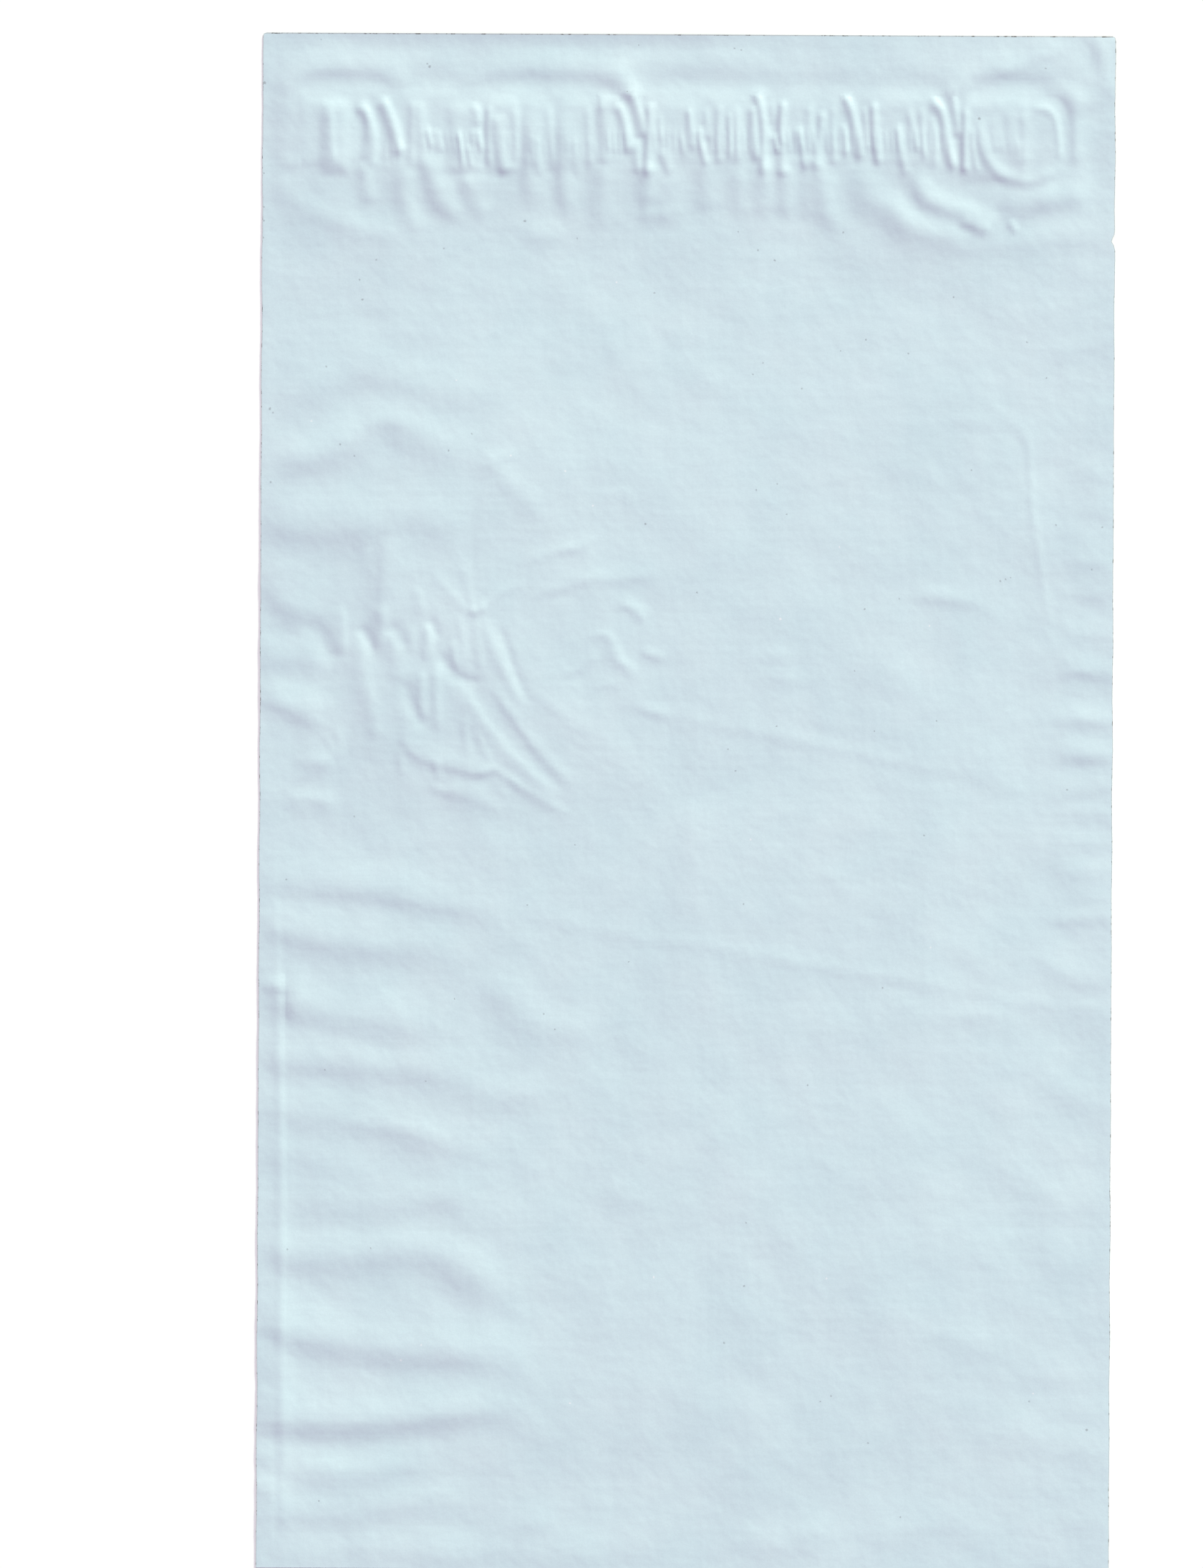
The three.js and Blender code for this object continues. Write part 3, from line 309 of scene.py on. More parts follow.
# Short ripples along the right weld
right_waves = [
    (0.2, 2.4, 1.4, [(60, 77), (66, 79.6), (72, 81.2), (82, 80.6)]),
    (0.14, 2, 1.4, [(68, 72), (74, 70.6), (82, 70)]),
    (0.26, 2.2, 1, [(68, 59.6), (73, 58.2), (82, 57.6)]),
    (0.22, 1.8, 1.4, [(68, 52.4), (74, 52.2), (82, 51.8)]),
    (0.22, 1.8, 1.4, [(66, 42.8), (72, 43), (82, 41.4)]),
    (0.26, 1.8, 1.4, [(65, 36), (71, 37.2), (82, 35.6)]),
    (0.18, 1.8, 1.4, [(66, 30), (72, 29.8), (82, 29)]),
    (0.44, 2.2, 1, [(65, 22.8), (71, 23.4), (82, 21.4)]),
    (0.48, 2, 1.2, [(64, 15), (70, 15), (82, 13.6)]),
    (0.46, 2, 1.2, [(64, 8.6), (70, 8.8), (82, 7.6)]),
    (0.36, 1.8, 1.4, [(64, 2.2), (70, 2.6), (82, 4.4)]),
    (0.32, 1.6, 1.4, [(65, -2.2), (70, -1.6), (82, -2.4)]),
    (0.34, 1.6, 1.4, [(65, -6.4), (70, -6.6), (82, -8)]),
    (0.34, 1.8, 1.4, [(64, -12.6), (70, -12.2), (82, -12.2)]),
    (0.3, 1.8, 1.4, [(66, -16.4), (72, -16.2), (82, -16.8)]),
    (0.34, 1.8, 1, [(62.6, -21), (68, -20.4), (82, -19.8)]),
    (0.36, 2.6, 2, [(62, -24.6), (66, -28.8), (70, -31.2), (82, -31)]),
    (0.16, 2, 1.2, [(56, -34.6), (66, -35.8), (74, -36.6), (82, -36.6)]),
    (0.26, 2.6, 2, [(56, -42), (59, -46.6), (64, -49.6), (70, -52.4), (82, -54)]),
    (0.22, 2.4, 2, [(48, -60.6), (54, -62.8), (60, -67.4), (68, -70.4), (82, -70)]),
    (0.16, 2.4, 2, [(60, -78), (68, -80.6), (82, -80)]),
    (0.16, 2.4, 2, [(62, -89.6), (68, -91), (82, -90)]),
    (0.28, 2.4, 1.6, [(58, -102.4), (64, -101.4), (70, -101.4), (82, -101)]),
    (0.26, 1.6, 1.4, [(64, -105.8), (70, -107.4), (82, -107.6)]),
    (0.34, 2.8, 1.8, [(52, -109.6), (60, -112.2), (68, -114.4), (82, -114.4)]),
    (0.28, 2, 1.6, [(62, -125.6), (70, -127.4), (82, -128)]),
]

# The crumpled patch left of the middle
crumple_creases = [
    (0.2, 2.6, 1.2, [(-60, 45), (-57, 44.6), (-55.6, 40), (-55.2, 34), (-54.4, 30)]),
    (0.4, 3.2, 1, [(-53.4, 47.6), (-53.5, 40), (-53.7, 34), (-54, 29.6)]),
    (-0.46, 1.2, 1.6, [(-68, 32), (-65.6, 30.2), (-63.6, 26.8), (-61.6, 24.2)]),
    (0.34, 0.5, 2, [(-61.4, 34.8), (-60.8, 30.6), (-60.8, 25.4)]),
    (0.36, 0.7, 1, [(-54.2, 35), (-53.9, 31), (-54.8, 26.2)]),
    (-0.42, 0.8, 0.8, [(-58, 31.2), (-56.4, 28.6), (-55.1, 26)]),
    (0.4, 1.1, 1.6, [(-58.3, 30.4), (-57.8, 26), (-56.9, 21), (-55.5, 16), (-54.2, 11.6)]),
    (0.32, 1.4, 1.1, [(-53, 30.6), (-51.6, 26), (-50.8, 20.4)]),
    (-0.36, 0.9, 0.8, [(-52.6, 31.4), (-50.9, 29), (-49.6, 26.6)]),
    (0.2, 0.5, 1, [(-48.7, 30.8), (-48.7, 28.4), (-49.2, 26.4)]),
    (0.26, 0.6, 1, [(-48, 38.4), (-47.2, 35), (-46.7, 32.4)]),
    (0.4, 0.8, 0.7, [(-46, 31.8), (-45.9, 28.6), (-46, 24.6)]),
    (-0.36, 0.6, 0.7, [(-45.8, 32.4), (-44.8, 30.6), (-43.8, 28.6)]),
    (0.16, 0.5, 0.8, [(-45.2, 40.6), (-42.6, 37.8), (-40.4, 35.2), (-38.4, 33.2)]),
    (-0.46, 0.6, 1, [(-43.8, 26.4), (-42.3, 24), (-41.2, 22.5), (-39, 21.5), (-35.6, 20.8)]),
    (0.3, 0.8, 0.5, [(-41.6, 28.6), (-41, 25.4), (-40.5, 23.2)]),
    (0.18, 0.6, 0.7, [(-39.6, 42), (-38.6, 37.4), (-37.8, 34)]),
    (0.2, 0.5, 0.6, [(-40.8, 33.6), (-40, 31), (-39.4, 27), (-39.2, 23.6)]),
    (0.2, 0.5, 0.6, [(-37.6, 32.4), (-37, 28), (-36, 22.6)]),
    (0.3, 0.9, 0.9, [(-36.4, 33), (-34.8, 28.4), (-32.8, 24), (-30.4, 19.6), (-28, 15.8)]),
    (-0.26, 0.5, 0.7, [(-33.4, 31.6), (-31.9, 27.6), (-30.6, 23.8), (-29.2, 20.2), (-27.6, 17)]),
    (0.46, 0.8, 1.7, [(-41.6, 21.6), (-38.8, 18.2), (-35.8, 13.8), (-31.8, 9), (-27.6, 5), (-24, 1.8),
     (-21.6, 0.2)]),
    (0.36, 1.2, 0.5, [(-35.4, 21.4), (-32.4, 17.2), (-29.2, 12.6), (-25.8, 8.4), (-22.2, 4.4),
     (-19.4, 1.4)]),
    (0.22, 0.5, 0.6, [(-39.2, 15.6), (-38.9, 11), (-38.6, 7.4)]),
    (0.2, 0.5, 0.6, [(-37.4, 12.8), (-36, 9.6), (-34.4, 6.6)]),
    (0.26, 0.5, 0.8, [(-33, 5.4), (-30, 3), (-26, 0.8), (-22, -1.6), (-17.8, -4.6)]),
    (0.56, 2.2, 0.75, [(-50.2, 13.4), (-49.2, 9.4), (-46.6, 7.6), (-43, 6.4), (-39, 5.6), (-36.6, 5.2),
     (-33.6, 5.8), (-32.2, 5.8)]),
    (-0.36, 0.7, 0.9, [(-49.9, 21.6), (-49, 17.8), (-47.4, 14.8), (-45.4, 12.9)]),
    (0.32, 0.9, 0.5, [(-47.2, 23.4), (-47, 18), (-46.6, 13.6)]),
    (0.32, 0.8, 0.6, [(-44.6, 24.4), (-44.3, 17), (-43.9, 12)]),
    (0.22, 0.5, 0.5, [(-44.6, 7.2), (-44, 5.2), (-43.4, 3.4)]),
    (0.2, 1, 0.8, [(-33.8, 4.6), (-32.8, 2), (-31, 0.8)]),
    (0.34, 1.8, 1.2, [(-43, 1), (-39.6, 1.6), (-36, 0), (-32, -1.8)]),
    (0.2, 0.8, 0.6, [(-50.6, 9.4), (-50.4, 4)]),
    (0.22, 0.8, 0.8, [(-62.4, 13), (-61.4, 10.4), (-62, 7)]),
    (0.2, 0.7, 0.5, [(-69.4, 4), (-67, 4.2), (-65, 6), (-63.8, 8.6)]),
    (0.16, 0.8, 0.6, [(-70, 0.6), (-66.4, 0.4), (-62.6, -0.6)]),
    (0.22, 0.8, 0.8, [(-55.6, 13.6), (-54.8, 11.2)]),
    (0.28, 1.2, 0.7, [(-28, 36.2), (-22.4, 37.8), (-18.6, 39.2), (-12, 39.4), (-4, 40.2)]),
    (0.22, 1, 0.6, [(-30.6, 41.6), (-26, 43.2), (-22, 44.4), (-19.4, 44.8), (-15, 47.2)]),
    (0.16, 1, 0.8, [(-12.4, 35.4), (-9.4, 34), (-7.4, 31.8)]),
    (0.16, 0.9, 0.8, [(-8, 27), (-5.6, 26), (-4, 25.4)]),
    (0.18, 1, 1, [(-14, 27), (-11.4, 24), (-8.6, 22)]),
    (0.14, 1, 0.8, [(-21, 23.6), (-18, 25.2), (-15.4, 26)]),
    (0.44, 0.5, 0.5, [(-38.4, 34.6), (-37.6, 33.4), (-36.8, 33.8), (-35.4, 34.8)]),
    (0.14, 1.2, 1, [(-11.6, 18), (-7, 16.6), (-2, 14.6)]),
    (0.18, 1.4, 1.2, [(-37, -6), (-32, -8.6), (-29, -12)]),
]

# Hooks, cusps and small sharp folds
small_creases = [
    (0.1, 0.9, 0.6, [(-16.4, 87), (-14, 81.4), (-11.1, 76.2)]),
    (0.1, 1.2, 0.6, [(-11.4, 76.4), (-8, 76.8), (-4, 77.6)]),
    (0.1, 0.6, 0.5, [(1.4, 69.6), (2.8, 68.6), (4.4, 67.4)]),
    (0.1, 0.6, 0.5, [(-16.2, 67.4), (-14.6, 66.2), (-13.4, 65.2)]),
    (0.12, 1, 0.6, [(-58, 64.6), (-54.6, 66.8), (-51.8, 66.9), (-49.6, 65.2)]),
    (0.05, 0.8, 0.6, [(-52.2, 65.6), (-51, 62.8), (-50, 60.2)]),
    (0.22, 0.8, 0.6, [(-36.4, 58), (-34.2, 60.2), (-31.8, 61), (-29.2, 60.4)]),
    (0.18, 0.6, 0.5, [(-14.4, 53.2), (-12.2, 54.6), (-10.6, 54.2), (-10.4, 51.4)]),
    (0.1, 0.7, 0.5, [(-23.4, 43.8), (-21.4, 44.6), (-18.6, 44.8)]),
    (0.07, 0.5, 0.5, [(-18, 45.6), (-17.6, 43), (-17.2, 40.4)]),
    (0.08, 1.4, 0.8, [(-36.4, 60), (-36.2, 48), (-37, 36)]),
    (0.12, 0.8, 0.6, [(-37.8, 33), (-35, 35.2), (-31.6, 37.4), (-28, 38.8)]),
    (0.18, 0.8, 0.5, [(-12.6, 35.4), (-9.4, 34), (-7.4, 31.4)]),
    (0.22, 0.7, 0.5, [(-18, 28.6), (-15, 29.6), (-13.2, 28.2), (-12, 25), (-8.4, 22.6)]),
    (0.18, 0.6, 0.45, [(-7.8, 26.9), (-5.6, 25.6), (-3.4, 25.3)]),
    (0.16, 0.7, 0.5, [(-23, 22.6), (-19.6, 23), (-17.6, 24.4), (-15.4, 26.2)]),
    (0.1, 0.8, 0.6, [(-17, 20), (-14, 20.8), (-11, 20.6)]),
    (0.14, 0.6, 0.5, [(-8.2, 16.9), (-6.4, 16), (-3.2, 15.2)]),
    (0.12, 1.2, 0.9, [(-28, 20), (-23, 16), (-17.6, 11.6)]),
    (0.18, 0.6, 0.45, [(-40.8, 5.4), (-37.4, 4.6), (-34.2, 5.6), (-32, 4.4), (-27.4, 1.8)]),
    (0.14, 0.5, 0.5, [(-64.6, 12.2), (-62.8, 9), (-64.2, 6.2)]),
    (0.14, 0.6, 0.5, [(-45.8, 3.4), (-42.6, 1.6), (-39.8, 2.6)]),
    (0.16, 0.8, 0.6, [(-38, -49.4), (-35.4, -51.8), (-33, -54)]),
    (0.12, 1.4, 0.9, [(-29.6, -55.8), (-19.7, -63.5), (-11.3, -69.3), (-5, -73), (2.3, -77.2)]),
    (0.18, 0.9, 0.7, [(-63, -53.6), (-61.4, -56.2), (-53, -57.8), (-47, -58.4), (-38.6, -62.4),
     (-32, -63.4)]),
    (0.14, 1.2, 0.9, [(-50, -71.8), (-44, -70.2), (-38, -73)]),
    (0.18, 0.7, 0.6, [(-28, -128.6), (-25, -129.4), (-21.8, -128)]),
    (0.05, 0.4, 0.5, [(-72, -66), (-71.6, -100), (-70.9, -137)]),
]

# Long faint creases
long_creases = [
    (0.08, 1, 0.55, [(-12, 17.4), (0, 14.8), (14, 12), (24, 10), (36, 7.6), (48, 5.2), (60, 1.6)]),
    (0.08, 0.9, 0.6, [(-40, -18.6), (-26, -20.8), (-10, -23.8), (4, -25.6), (20, -28.4), (40, -31.6),
     (56, -34.6), (76, -36.8)]),
    (0.1, 0.5, 0.5, [(47, 75.4), (52, 71.4), (56.6, 68), (60, 64.6), (60.8, 58), (61, 53), (61.6, 49),
     (62.8, 41), (63.6, 35), (64.6, 28)]),
    (0.5, 30, 13, [(-46, 78), (-47, 40), (-46, -4)]),
    (0.08, 1.2, 0.8, [(44, 67.6), (52, 67.4), (57.4, 67.4)]),
    (0.22, 1.6, 0.7, [(40.6, 38.4), (42.2, 36.8), (45.6, 36.2), (52, 34.8)]),
    (0.16, 1.6, 1, [(-2, 78.4), (2.6, 75.4), (8, 71)]),
    (0.18, 1.2, 0.8, [(13.4, 26.6), (16, 25.8), (18.4, 25.2)]),
    (0.14, 1.2, 0.8, [(15, 23), (17.6, 21.6), (19.4, 21)]),
    (0.14, 1.4, 1, [(44, -39), (52, -37.4), (56.4, -40)]),
    (0.2, 1.8, 1.2, [(40, -91), (46, -94.4), (51, -95.8), (56, -98.6)]),
    (0.16, 1.4, 1.2, [(34, -88.6), (36.6, -91.6), (41, -92)]),
    (0.14, 1.6, 2, [(6, -76), (10, -84), (13, -90.6), (14, -95)]),
    (0.14, 1.4, 1.2, [(-15, -67), (-11.4, -69.8), (-8, -72.6)]),
    (0.16, 0.5, 0.9, [(-73.6, -5), (-72.2, -30), (-71.4, -60), (-71, -90), (-70.6, -115), (-70.2, -140)]),
    (0.3, 0.5, 0.4, [(-69.4, -28), (-69.7, -34), (-69.4, -41)]),
    (0.26, 1.2, 0.5, [(-76, -32.4), (-72, -33.2), (-69.6, -33.2)]),
]

# Short ripples in the margin of the left weld: how far up the bag each lies, and the height, spreads and line
# that they have in common. Its points are given by their x and by how far they lie above the ripple's place.
margin_ripples = [-80.4, -84.6, -89.2, -93, -97.2, -101.8, -105.4, -111, -116.2, -121.8, -126.4, -130.8]
ripple_height, ripple_left, ripple_right = 0.2, 0.9, 0.7
ripple_line = [(-78, 0.5), (-74.6, 0), (-71.8, -0.7)]
margin_creases = [(ripple_height, ripple_left, ripple_right, [(x, y + rise) for x, rise in ripple_line])
                  for y in margin_ripples]

# How strongly each group stands, how wide, and the share of a crease over which it dies away at each end
crease_groups = [
    (0.64, 1.04, 0.12, ribs),
    (0.95, 1, 0.3, bands),
    (0.95, 1, 0.12, arches),
    (0.9, 1, 0.25, flap_rolls),
    (0.87, 1, 0.3, left_waves),
    (0.6, 0.9, 0.3, right_waves),
    (0.42, 0.92, 0.2, crumple_creases),
    (0.62, 0.9, 0.3, small_creases),
    (0.9, 1, 0.3, long_creases),
    (0.5, 1, 0.4, margin_creases),
]

# How finely each line is drawn, and how creases, puckers and pillows die away
curve_steps = 8
crease_reach = 3.2  # a crease is too low to count past this many of its spreads
end_share = 0.1  # of a crease's height, left at its very ends
pucker_taper, pucker_spread, pucker_bow = 0.3, 0.3, 0.4
least_distance = 1e-9  # so that nothing is divided by 0
pillow_sides, pillow_foot, pillow_head = 0.95 * mm, 0.65 * mm, 0.9 * mm

# Swell of the gathered flap, and how the welds hold down the film beside them
swell_height = 0.16 * mm
swell_foot, swell_foot_ease = 106 * mm, 7 * mm
swell_head, swell_head_ease = 125 * mm, 1.9 * mm
swell_left, swell_right, swell_end_ease = -71 * mm, 69 * mm, 3 * mm
weld_stiffness = 0.45
weld_reach = 3 * mm
seam_height = 2 * film_thickness + weld_gap
contact_softness = 0.1 * mm


def smooth_line(points):
    marks = np.array(points, float) * mm
    marks = np.vstack([marks[0], marks, marks[-1]])
    line = []
    for before, start, end, after in zip(marks, marks[1:], marks[2:], marks[3:]):
        for t in np.arange(curve_steps) / curve_steps:
            line.append(0.5 * (2 * start + (end - before) * t
                               + (2 * before - 5 * start + 4 * end - after) * t ** 2
                               + (3 * start - before - 3 * end + after) * t ** 3))
    return np.array(line + [marks[-1]])


def ease(t):
    s = np.clip(t, 0, 1)
    return s * s * (3 - 2 * s)


def soft_step(distance, softness):
    return 0.5 * (1 + np.tanh(distance / softness))


def crease_height(x, y, taper, height, left, right, points):
    """What one crease adds to the film's height at each place."""
    line = smooth_line(points)
    lengths = np.hypot(*np.diff(line, axis=0).T)
    reach = crease_reach * mm * max(left, right)
    low, high = line.min(0) - reach, line.max(0) + reach
    added = np.zeros(x.shape)
    near = (x > low[0]) & (x < high[0]) & (y > low[1]) & (y < high[1])
    if not near.any():
        return added
    px, py = x[near], y[near]
    nearest = np.full(px.shape, np.inf)
    side = np.zeros(px.shape)
    along = np.zeros(px.shape)
    walked = 0.0
    for (ax, ay), (bx, by), length in zip(line, line[1:], lengths):
        dx, dy = (bx - ax) / length, (by - ay) / length
        step = np.clip((px - ax) * dx + (py - ay) * dy, 0, length)
        off_x, off_y = px - ax - step * dx, py - ay - step * dy
        distance = np.hypot(off_x, off_y)
        closer = distance < nearest
        nearest[closer] = distance[closer]
        side[closer] = (dx * off_y - dy * off_x)[closer]
        along[closer] = (walked + step)[closer]
        walked += length
    along /= walked
    turn = side / np.maximum(nearest, least_distance)
    spread = mm * ((left + right) / 2 + turn * (left - right) / 2)
    fade = end_share + (1 - end_share) * ease(np.minimum(along, 1 - along) / taper)
    added[near] = mm * height * fade * np.exp(-0.5 * (nearest / spread) ** 2)
    return added


def pillow_height(x, y, height, left, right, bottom, top, lean):
    moved = x - lean * (y - strip_middle)
    across = soft_step(moved - left * mm, pillow_sides) * soft_step(right * mm - moved, pillow_sides)
    upwards = soft_step(y - bottom * mm, pillow_foot) * soft_step(top * mm - y, pillow_head)
    return mm * height * across * upwards


def pucker_lines(first, last, pitch, top, bottom, height, shift):
    """The creases of one even row of puckers."""
    lines = []
    for i in range(round((last - first) / pitch) + 1):
        x = first + i * pitch
        points = [(x, top), (x + pucker_bow * shift, (top + bottom) / 2), (x + shift, bottom)]
        lines.append((height, pucker_spread * pitch, pucker_spread * pitch, points))
    return lines


def film_floor(x, y):
    """The lowest that the film's upper side can lie: on the front panel, on the strip or on the table."""
    past_mouth = ease((y - mouth_edge) / mouth_ease)
    free = seam_height + (film_thickness + lying_clearance - seam_height) * past_mouth
    outside_x = np.maximum(np.maximum(liner_low.x - x, x - liner_high.x), 0) / strip_shoulder
    below = np.maximum(liner_low.y - y, 0) / strip_foot
    above = np.maximum(y - liner_high.y, 0) / strip_shoulder
    return free + (strip_height - free) * ease(1 - np.hypot(outside_x, below + above))


def edge_x(side, y):
    """Where the hot knife cut: nearly straight, a little rough, rounded at the flap's corners, and with a
    nick where the right weld ends."""
    wander = np.sin(2 * math.pi * y / edge_wander_pitch + side * side_phase)
    drift = np.sin(2 * math.pi * y / edge_drift_pitch + side * side_phase)
    rough = 0.5 * (1 + np.sin(2 * math.pi * y / rough_pitch) * np.sin(math.pi * y / rough_pitch + side_phase))
    nick = nick_depth * (side > 0) * np.exp(-((y - nick_place) / nick_reach) ** 2)
    past = np.maximum(y - flap_edge + corner_rounding, 0)
    rounded = corner_rounding - np.sqrt(np.maximum(corner_rounding ** 2 - past ** 2, 0))
    strayed = 0.5 * edge_wander * (1 + wander * drift) + edge_roughness * rough
    return side * (half_width - strayed - nick - rounded)


def film_top(x, y):
    """Height of the film's upper side."""
    from_side = np.maximum(half_width - np.abs(x), 0)

    def opened(distance):
        return 1 - np.exp(-(np.maximum(distance, 0) / slack_ease) ** 2)

    slack = slack_height * opened(from_side) * opened(y - bottom_edge) * opened(mouth_edge - y)
    creased = swell_height * soft_step(np.minimum(x - swell_left, swell_right - x), swell_end_ease)
    creased = creased * soft_step(y - swell_foot, swell_foot_ease)
    creased = creased * soft_step(swell_head - y, swell_head_ease)
    for pillow in pillows:
        creased = creased + pillow_height(x, y, *pillow)
    for row in fine_puckers:
        for pucker in pucker_lines(*row):
            creased = creased + crease_height(x, y, pucker_taper, *pucker)
    for strength, breadth, taper, creases in crease_groups:
        for height, left, right, line in creases:
            added = crease_height(x, y, taper, height, left * breadth, right * breadth, line)
            creased = creased + strength * added
    held = weld_stiffness + (1 - weld_stiffness) * ease(from_side / weld_reach)
    from_cut = np.where(x > 0, edge_x(1, y) - x, x - edge_x(-1, y))
    bead = weld_bead * np.sin(math.pi * np.clip(from_cut / bead_width, 0, 1))
    lift = slack + bead + held * creased
    return film_floor(x, y) + 0.5 * (lift + np.hypot(lift, contact_softness))


def evenly(start, end, pitch):
    count = max(1, round((end - start) / pitch))
    return [start + (end - start) * i / count for i in range(count)]


def columns_of(y, stretches):
    """The x of each column of a row: the two cut edges and welds, and cells of each stretch's own pitch."""
    weld_start = half_width - edge_wander - weld_width
    inner = []
    for start, end, pitch in stretches:
        inner += evenly(max(start, -weld_start), min(end, weld_start), pitch)
    left, right = edge_x(-1, y), edge_x(1, y)
    return np.array([left, left + left_line, left + bead_crest] + inner
                    + [weld_start, right - bead_crest, right - right_line, right])


# Cells along a row, each stretch from one x to another at its own pitch
wide = 100 * mm
lower_cells = [(-wide, -73 * mm, 1.3 * mm), (-73 * mm, -70 * mm, 0.5 * mm), (-70 * mm, -30 * mm, 2 * mm),
               (-30 * mm, 56 * mm, 2.6 * mm), (56 * mm, wide, 2 * mm)]
crumple_cells = [(-wide, -65 * mm, 1.2 * mm), (-65 * mm, -26 * mm, 0.5 * mm), (-26 * mm, -3 * mm, 0.75 * mm),
                 (-3 * mm, 59 * mm, 2.4 * mm), (59 * mm, 66 * mm, 0.55 * mm), (66 * mm, wide, 1.5 * mm)]
upper_cells = [(-wide, -60 * mm, 1.8 * mm), (-60 * mm, -3 * mm, 0.9 * mm), (-3 * mm, 45 * mm, 2.2 * mm),
               (45 * mm, 66 * mm, 0.55 * mm), (66 * mm, wide, 1.5 * mm)]
low_flap_cells = [(-wide, 34 * mm, 0.75 * mm), (34 * mm, 60 * mm, 0.5 * mm), (60 * mm, wide, 0.75 * mm)]
strip_cells = [(-wide, -69 * mm, 0.7 * mm), (-69 * mm, 70 * mm, 0.34 * mm), (70 * mm, wide, 0.7 * mm)]
top_flap_cells = [(-wide, wide, 1.0 * mm)]
under_cells = [(-wide, wide, 12 * mm)]

# Rows of the mesh from the bottom fold to the free edge, closer together where the creases are finer
zones = [
    (bottom_edge + film_thickness, -39 * mm, 1.2 * mm, lower_cells),
    (-39 * mm, -17 * mm, 0.7 * mm, lower_cells),
    (-17 * mm, -2 * mm, 1.1 * mm, lower_cells),
    (-2 * mm, 47 * mm, 0.6 * mm, crumple_cells),
    (47 * mm, mouth_edge, 0.95 * mm, upper_cells),
    (mouth_edge, 110.2 * mm, 0.62 * mm, low_flap_cells),
    (110.2 * mm, 125.4 * mm, 0.58 * mm, strip_cells),
    (125.4 * mm, flap_edge - top_line, 0.75 * mm, top_flap_cells),
]
row_places = [(y, cells) for start, end, pitch, cells in zones for y in evenly(start, end, pitch)]
row_places += [(flap_edge - top_line, top_flap_cells), (flap_edge, top_flap_cells)]
rows = [(y, columns_of(y, cells)) for y, cells in row_places]
mouth_row = min(range(len(rows)), key=lambda j: abs(rows[j][0] - mouth_edge))
weld_points = 3  # points of each row on either weld, outside the pocket
pocket = slice(weld_points, -weld_points)

# The skin is laid in chains of points that are stitched to each other. Each face is given the place of its
# material in the piece's list.
points, faces, face_materials = [], [], []
OUTSIDE, INSIDE, CUT_AND_SHADE, SPECKED = 0, 1, 2, 3
least_length = 1e-12  # so that nothing is divided by 0


def chain(xs, ys, zs):
    start = len(points)
    points.extend(zip(xs, np.broadcast_to(ys, len(xs)), zs))
    return list(range(start, len(points)))


def shares_along(chain_points):
    """How far along its chain each point lies, from 0 to 1."""
    places = np.array([points[i] for i in chain_points])
    walked = np.concatenate([[0], np.cumsum(np.linalg.norm(np.diff(places, axis=0), axis=1))])
    return walked / max(walked[-1], least_length)


def stitch(a, b, material=0, facing_down=False):
    """Fills the band between two chains. It faces up where both run along +X and b lies at greater Y."""
    share_a, share_b = shares_along(a), shares_along(b)
    even = len(a) == len(b)
    i = j = 0
    while i + 1 < len(a) or j + 1 < len(b):
        if even:
            corners = [a[i], a[i + 1], b[j + 1], b[j]]
            i, j = i + 1, j + 1
        elif j + 1 >= len(b) or (i + 1 < len(a) and share_a[i + 1] <= share_b[j + 1]):
            corners = [a[i], a[i + 1], b[j]]
            i += 1
        else:
            corners = [a[i], b[j + 1], b[j]]
            j += 1
        corners = list(dict.fromkeys(corners))
        if len(corners) > 2:
            faces.append(corners[::-1] if facing_down else corners)
            face_materials.append(material)


all_x = np.concatenate([xs for y, xs in rows])
all_y = np.concatenate([np.full(len(xs), y) for y, xs in rows])
heights = np.split(film_top(all_x, all_y), np.cumsum([len(xs) for y, xs in rows])[:-1])

under_pitch = 3 * mm
back_outer = [chain(xs, y, top) for (y, xs), top in zip(rows, heights)]
back_inner = []
for j, ((y, xs), top) in enumerate(zip(rows, heights)):
    inner = pocket if j < mouth_row else slice(None)
    back_inner.append(chain(xs[inner], y, top[inner] - film_thickness))
front_places = evenly(rows[0][0], mouth_edge, under_pitch) + [mouth_edge]
front_rows = [(y, columns_of(y, under_cells)) for y in front_places]
front_inner = [chain(xs[pocket], y, np.full(len(xs[pocket]), film_thickness)) for y, xs in front_rows]
front_outer = [chain(xs, y, np.zeros(len(xs))) for y, xs in front_rows]
fold_nose = chain(rows[0][1], bottom_edge, heights[0] / 2)

for j in range(len(rows) - 1):
    near, far = back_outer[j], back_outer[j + 1]
    # The outer band of each row, and the last row at the free edge, take the cut edge's dark colour: melted
    # film, with painted shade of the edge's shadow
    stitch(near[:2], far[:2], CUT_AND_SHADE)
    stitch(near[1:-1], far[1:-1], CUT_AND_SHADE if j == len(rows) - 2 else OUTSIDE)
    stitch(near[-2:], far[-2:], CUT_AND_SHADE)
    near, far = back_inner[j], back_inner[j + 1]
    if j == mouth_row - 1:
        far = far[pocket]
    stitch(near, far, INSIDE, facing_down=True)
for j in range(len(front_rows) - 1):
    stitch(front_inner[j], front_inner[j + 1], INSIDE)
    stitch(front_outer[j], front_outer[j + 1], OUTSIDE, facing_down=True)

# Bottom fold, and the front panel's cut edge at the mouth
stitch(fold_nose, back_outer[0], OUTSIDE)
stitch(front_outer[0], fold_nose, OUTSIDE)
stitch(back_inner[0], front_inner[0], INSIDE)
mouth_outer, mouth_inner, mouth_back = front_outer[-1], front_inner[-1], back_inner[mouth_row]
stitch(mouth_inner, mouth_outer[pocket], CUT_AND_SHADE)
to_pocket = weld_points + 1
stitch(mouth_back[:to_pocket] + mouth_inner[:1], mouth_outer[:to_pocket], CUT_AND_SHADE)
stitch(mouth_inner[-1:] + mouth_back[-to_pocket:], mouth_outer[-to_pocket:], CUT_AND_SHADE)

